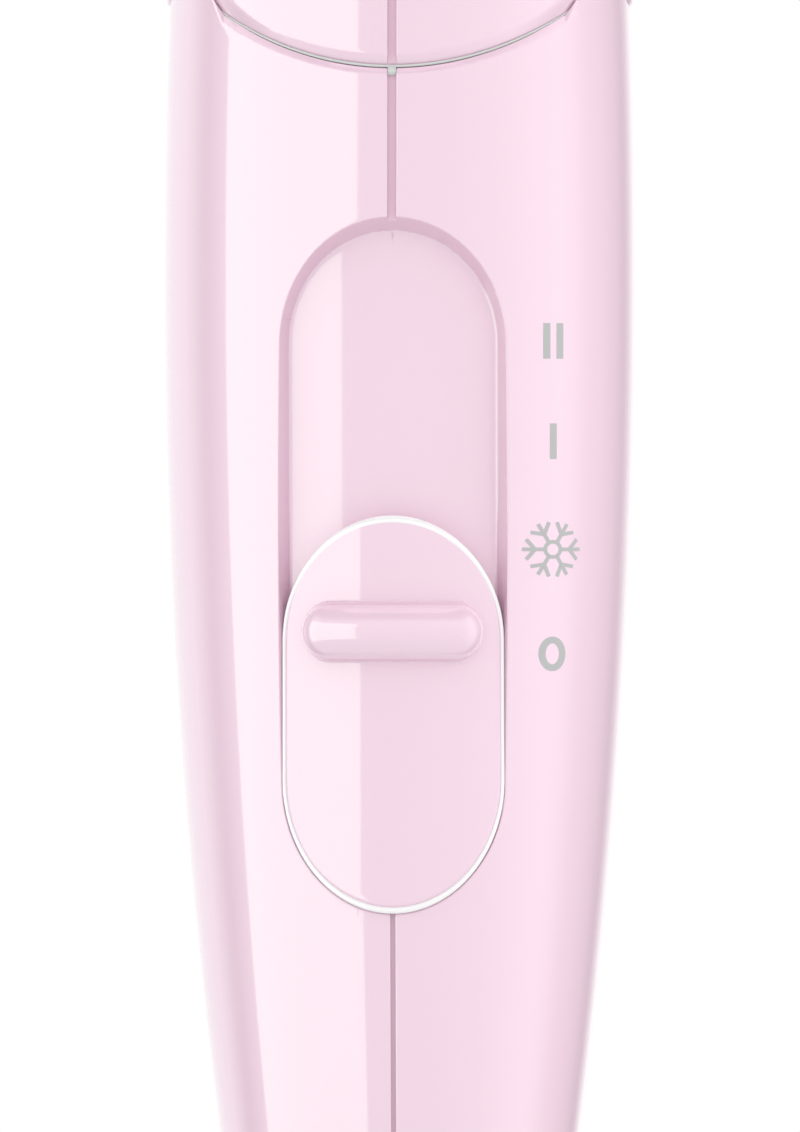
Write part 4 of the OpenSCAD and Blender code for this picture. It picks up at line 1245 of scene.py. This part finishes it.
def make_floor(stage):
    """A pale floor that keeps the shadow near the dryer and fades to white further out."""
    lift_share, outer_share = 0.12, 0.85
    bpy.ops.mesh.primitive_circle_add(vertices=128, radius=FLOOR_RADIUS, fill_type="NGON")
    floor = bpy.context.object
    floor.name = "floor"
    floor.visible_glossy = False
    material = bpy.data.materials.new("floor_pale")
    material.use_nodes = True
    tree = material.node_tree
    tree.nodes.clear()
    path = add(tree, "ShaderNodeLightPath")
    place = add(tree, "ShaderNodeNewGeometry").outputs["Position"]
    far = add(tree, "ShaderNodeVectorMath", {"operation": "LENGTH"})
    tree.links.new(place, far.inputs[0])
    fade = add(tree, "ShaderNodeMapRange", {"interpolation_type": "SMOOTHSTEP"}, Value=far.outputs["Value"],
               From_Min=FADE_START, From_Max=FADE_END)
    diffuse = add(tree, "ShaderNodeBsdfDiffuse", Color=(0.78, 0.78, 0.78, 1))
    seen = path.outputs["Is Camera Ray"]
    lift = add(tree, "ShaderNodeEmission", Color=WHITE, Strength=sum_of(tree, "MULTIPLY", seen, lift_share))
    near = add(tree, "ShaderNodeAddShader", _0=diffuse.outputs[0], _1=lift.outputs[0])
    lit = sum_of(tree, "MAXIMUM", seen, outer_share * stage.ambient)
    outer = add(tree, "ShaderNodeEmission", Color=WHITE, Strength=lit)
    mixed = add(tree, "ShaderNodeMixShader", _0=fade.outputs[0], _1=near.outputs[0], _2=outer.outputs[0])
    out = add(tree, "ShaderNodeOutputMaterial")
    tree.links.new(mixed.outputs[0], out.inputs["Surface"])
    floor.data.materials.append(material)


def make_surround(stage):
    """A white surround for the camera, one with soft shades for reflections, and a plain one for light."""
    world = bpy.data.worlds.new("surround")
    bpy.context.scene.world = world
    world.use_nodes = True
    tree = world.node_tree
    tree.nodes.clear()
    path = add(tree, "ShaderNodeLightPath")
    seen = sum_of(tree, "MAXIMUM", path.outputs["Is Camera Ray"], path.outputs["Is Transmission Ray"])
    towards = add(tree, "ShaderNodeTexCoord").outputs["Generated"]
    axes = add(tree, "ShaderNodeSeparateXYZ", Vector=towards).outputs

    def shade(value, start, end, low, high):
        """Goes smoothly from low to high while the value goes from start to end."""
        return add(tree, "ShaderNodeMapRange", {"interpolation_type": "SMOOTHSTEP"}, Value=value,
                   From_Min=start, From_Max=end, To_Min=low, To_Max=high).outputs[0]

    # the gloss sees white in front of the switch, less at the sides and above, and white again behind
    # the dryer, turned a little to one side, with a faint band at the far right
    beside = shade(axes["Y"], -0.1, 0.4, stage.front, stage.side)
    level = shade(axes["Z"], 0.55, 0.85, 1, 0)
    lean = 0.35
    turned = sum_of(tree, "SUBTRACT", axes["Y"], sum_of(tree, "MULTIPLY", axes["X"], lean))
    behind = shade(turned, 0.58, 0.92, 0, 1 - stage.side)
    right = shade(axes["X"], 0.78, 0.95, 0, 0.15)
    gloss = sum_of(tree, "ADD", beside, right)
    gloss = sum_of(tree, "ADD", sum_of(tree, "MULTIPLY", gloss, level), behind)
    light = add(tree, "ShaderNodeBackground", Color=WHITE, Strength=stage.ambient)
    shiny = add(tree, "ShaderNodeBackground", Color=WHITE, Strength=gloss)
    white = add(tree, "ShaderNodeBackground", Color=WHITE, Strength=1.0)
    one = add(tree, "ShaderNodeMixShader", _0=path.outputs["Is Glossy Ray"], _1=light.outputs[0],
              _2=shiny.outputs[0])
    two = add(tree, "ShaderNodeMixShader", _0=seen, _1=one.outputs[0], _2=white.outputs[0])
    out = add(tree, "ShaderNodeOutputWorld")
    tree.links.new(two.outputs[0], out.inputs["Surface"])


def lamp(name, azimuth, elevation, distance, width, height, radiance, tint, gloss):
    """A rectangular lamp that faces the dryer. Azimuth 0 is behind the switch, towards -Y. It is seen
    only in the gloss, or lights everything but the gloss."""
    data = bpy.data.lights.new(name, "AREA")
    data.shape = "RECTANGLE"
    data.size, data.size_y = width, height
    data.energy = radiance * math.pi * width * height
    data.color = tint
    made = bpy.data.objects.new(name, data)
    bpy.context.scene.collection.objects.link(made)
    a, e = math.radians(azimuth), math.radians(elevation)
    away = Vector((math.sin(a) * math.cos(e), -math.cos(a) * math.cos(e), math.sin(e)))
    made.location = AIM + away * distance
    made.rotation_mode = "QUATERNION"
    made.rotation_quaternion = away.to_track_quat("Z", "Y")
    made.visible_camera = False
    made.visible_glossy = gloss
    made.visible_diffuse = not gloss
    return made


def make_lamps(stage):
    """A tall strip that shows only in the gloss, and a soft lamp on each side, the right one stronger."""
    lamp("strip_left", azimuth=-55.5, elevation=0, distance=1.0, width=1.5, height=1.25,
         radiance=stage.strip, tint=stage.strip_colour, gloss=True)
    for name, azimuth, share in (("soft_left", -105, 0.12), ("soft_right", 105, 0.9)):
        lamp(name, azimuth, elevation=10, distance=1.2, width=1.0, height=1.0,
             radiance=share * stage.soft, tint=WHITE[:3], gloss=False)


def make_camera(stage):
    """A long lens behind the switch, a little to the right, level with the slider."""
    data = bpy.data.cameras.new("camera")
    camera = bpy.data.objects.new("camera", data)
    bpy.context.scene.collection.objects.link(camera)
    bpy.context.scene.camera = camera
    away = Vector((math.sin(stage.azimuth), -math.cos(stage.azimuth), 0))
    camera.location = Vector((0, 0, stage.level)) + away * stage.distance
    camera.rotation_mode = "QUATERNION"
    camera.rotation_quaternion = away.to_track_quat("Z", "Y")
    data.sensor_width = 36
    data.lens = data.sensor_width * stage.distance / stage.tall
    data.clip_start, data.clip_end = 0.01, 100
    bpy.context.scene.view_settings.view_transform = "Standard"


# ---- panel and registration -------------------------------------------------------------

class DRYER_PT_panel(bpy.types.Panel):
    """Lists every step, size and colour of the dryer"""
    bl_label = "Dryer"
    bl_idname = "DRYER_PT_panel"
    bl_space_type = "VIEW_3D"
    bl_region_type = "UI"
    bl_category = "Dryer"

    def draw(self, context):
        for operator in OPERATORS:
            self.layout.operator(operator.bl_idname)
        for group_name, group in GROUPS.items():
            box = self.layout.box()
            settings = getattr(context.scene, group_name)
            for name in group.__annotations__:
                box.prop(settings, name)


OPERATORS = (DRYER_OT_materials, DRYER_OT_handle, DRYER_OT_barrel, DRYER_OT_slider, DRYER_OT_marks,
             DRYER_OT_hinge_caps, DRYER_OT_nozzle, DRYER_OT_carried, DRYER_OT_stage)


def register():
    """Adds the groups of settings, the operators and the panel."""
    for name, group in GROUPS.items():
        bpy.utils.register_class(group)
        setattr(bpy.types.Scene, name, bpy.props.PointerProperty(type=group))
    for operator in OPERATORS:
        bpy.utils.register_class(operator)
    bpy.utils.register_class(DRYER_PT_panel)


def unregister():
    """Takes them away again."""
    bpy.utils.unregister_class(DRYER_PT_panel)
    for operator in reversed(OPERATORS):
        bpy.utils.unregister_class(operator)
    for name, group in GROUPS.items():
        delattr(bpy.types.Scene, name)
        bpy.utils.unregister_class(group)


def main():
    """Makes the whole dryer, one operator after the other."""
    register()
    for operator in OPERATORS:
        group, name = operator.bl_idname.split(".")
        getattr(getattr(bpy.ops, group), name)()


if __name__ == "__main__":
    main()
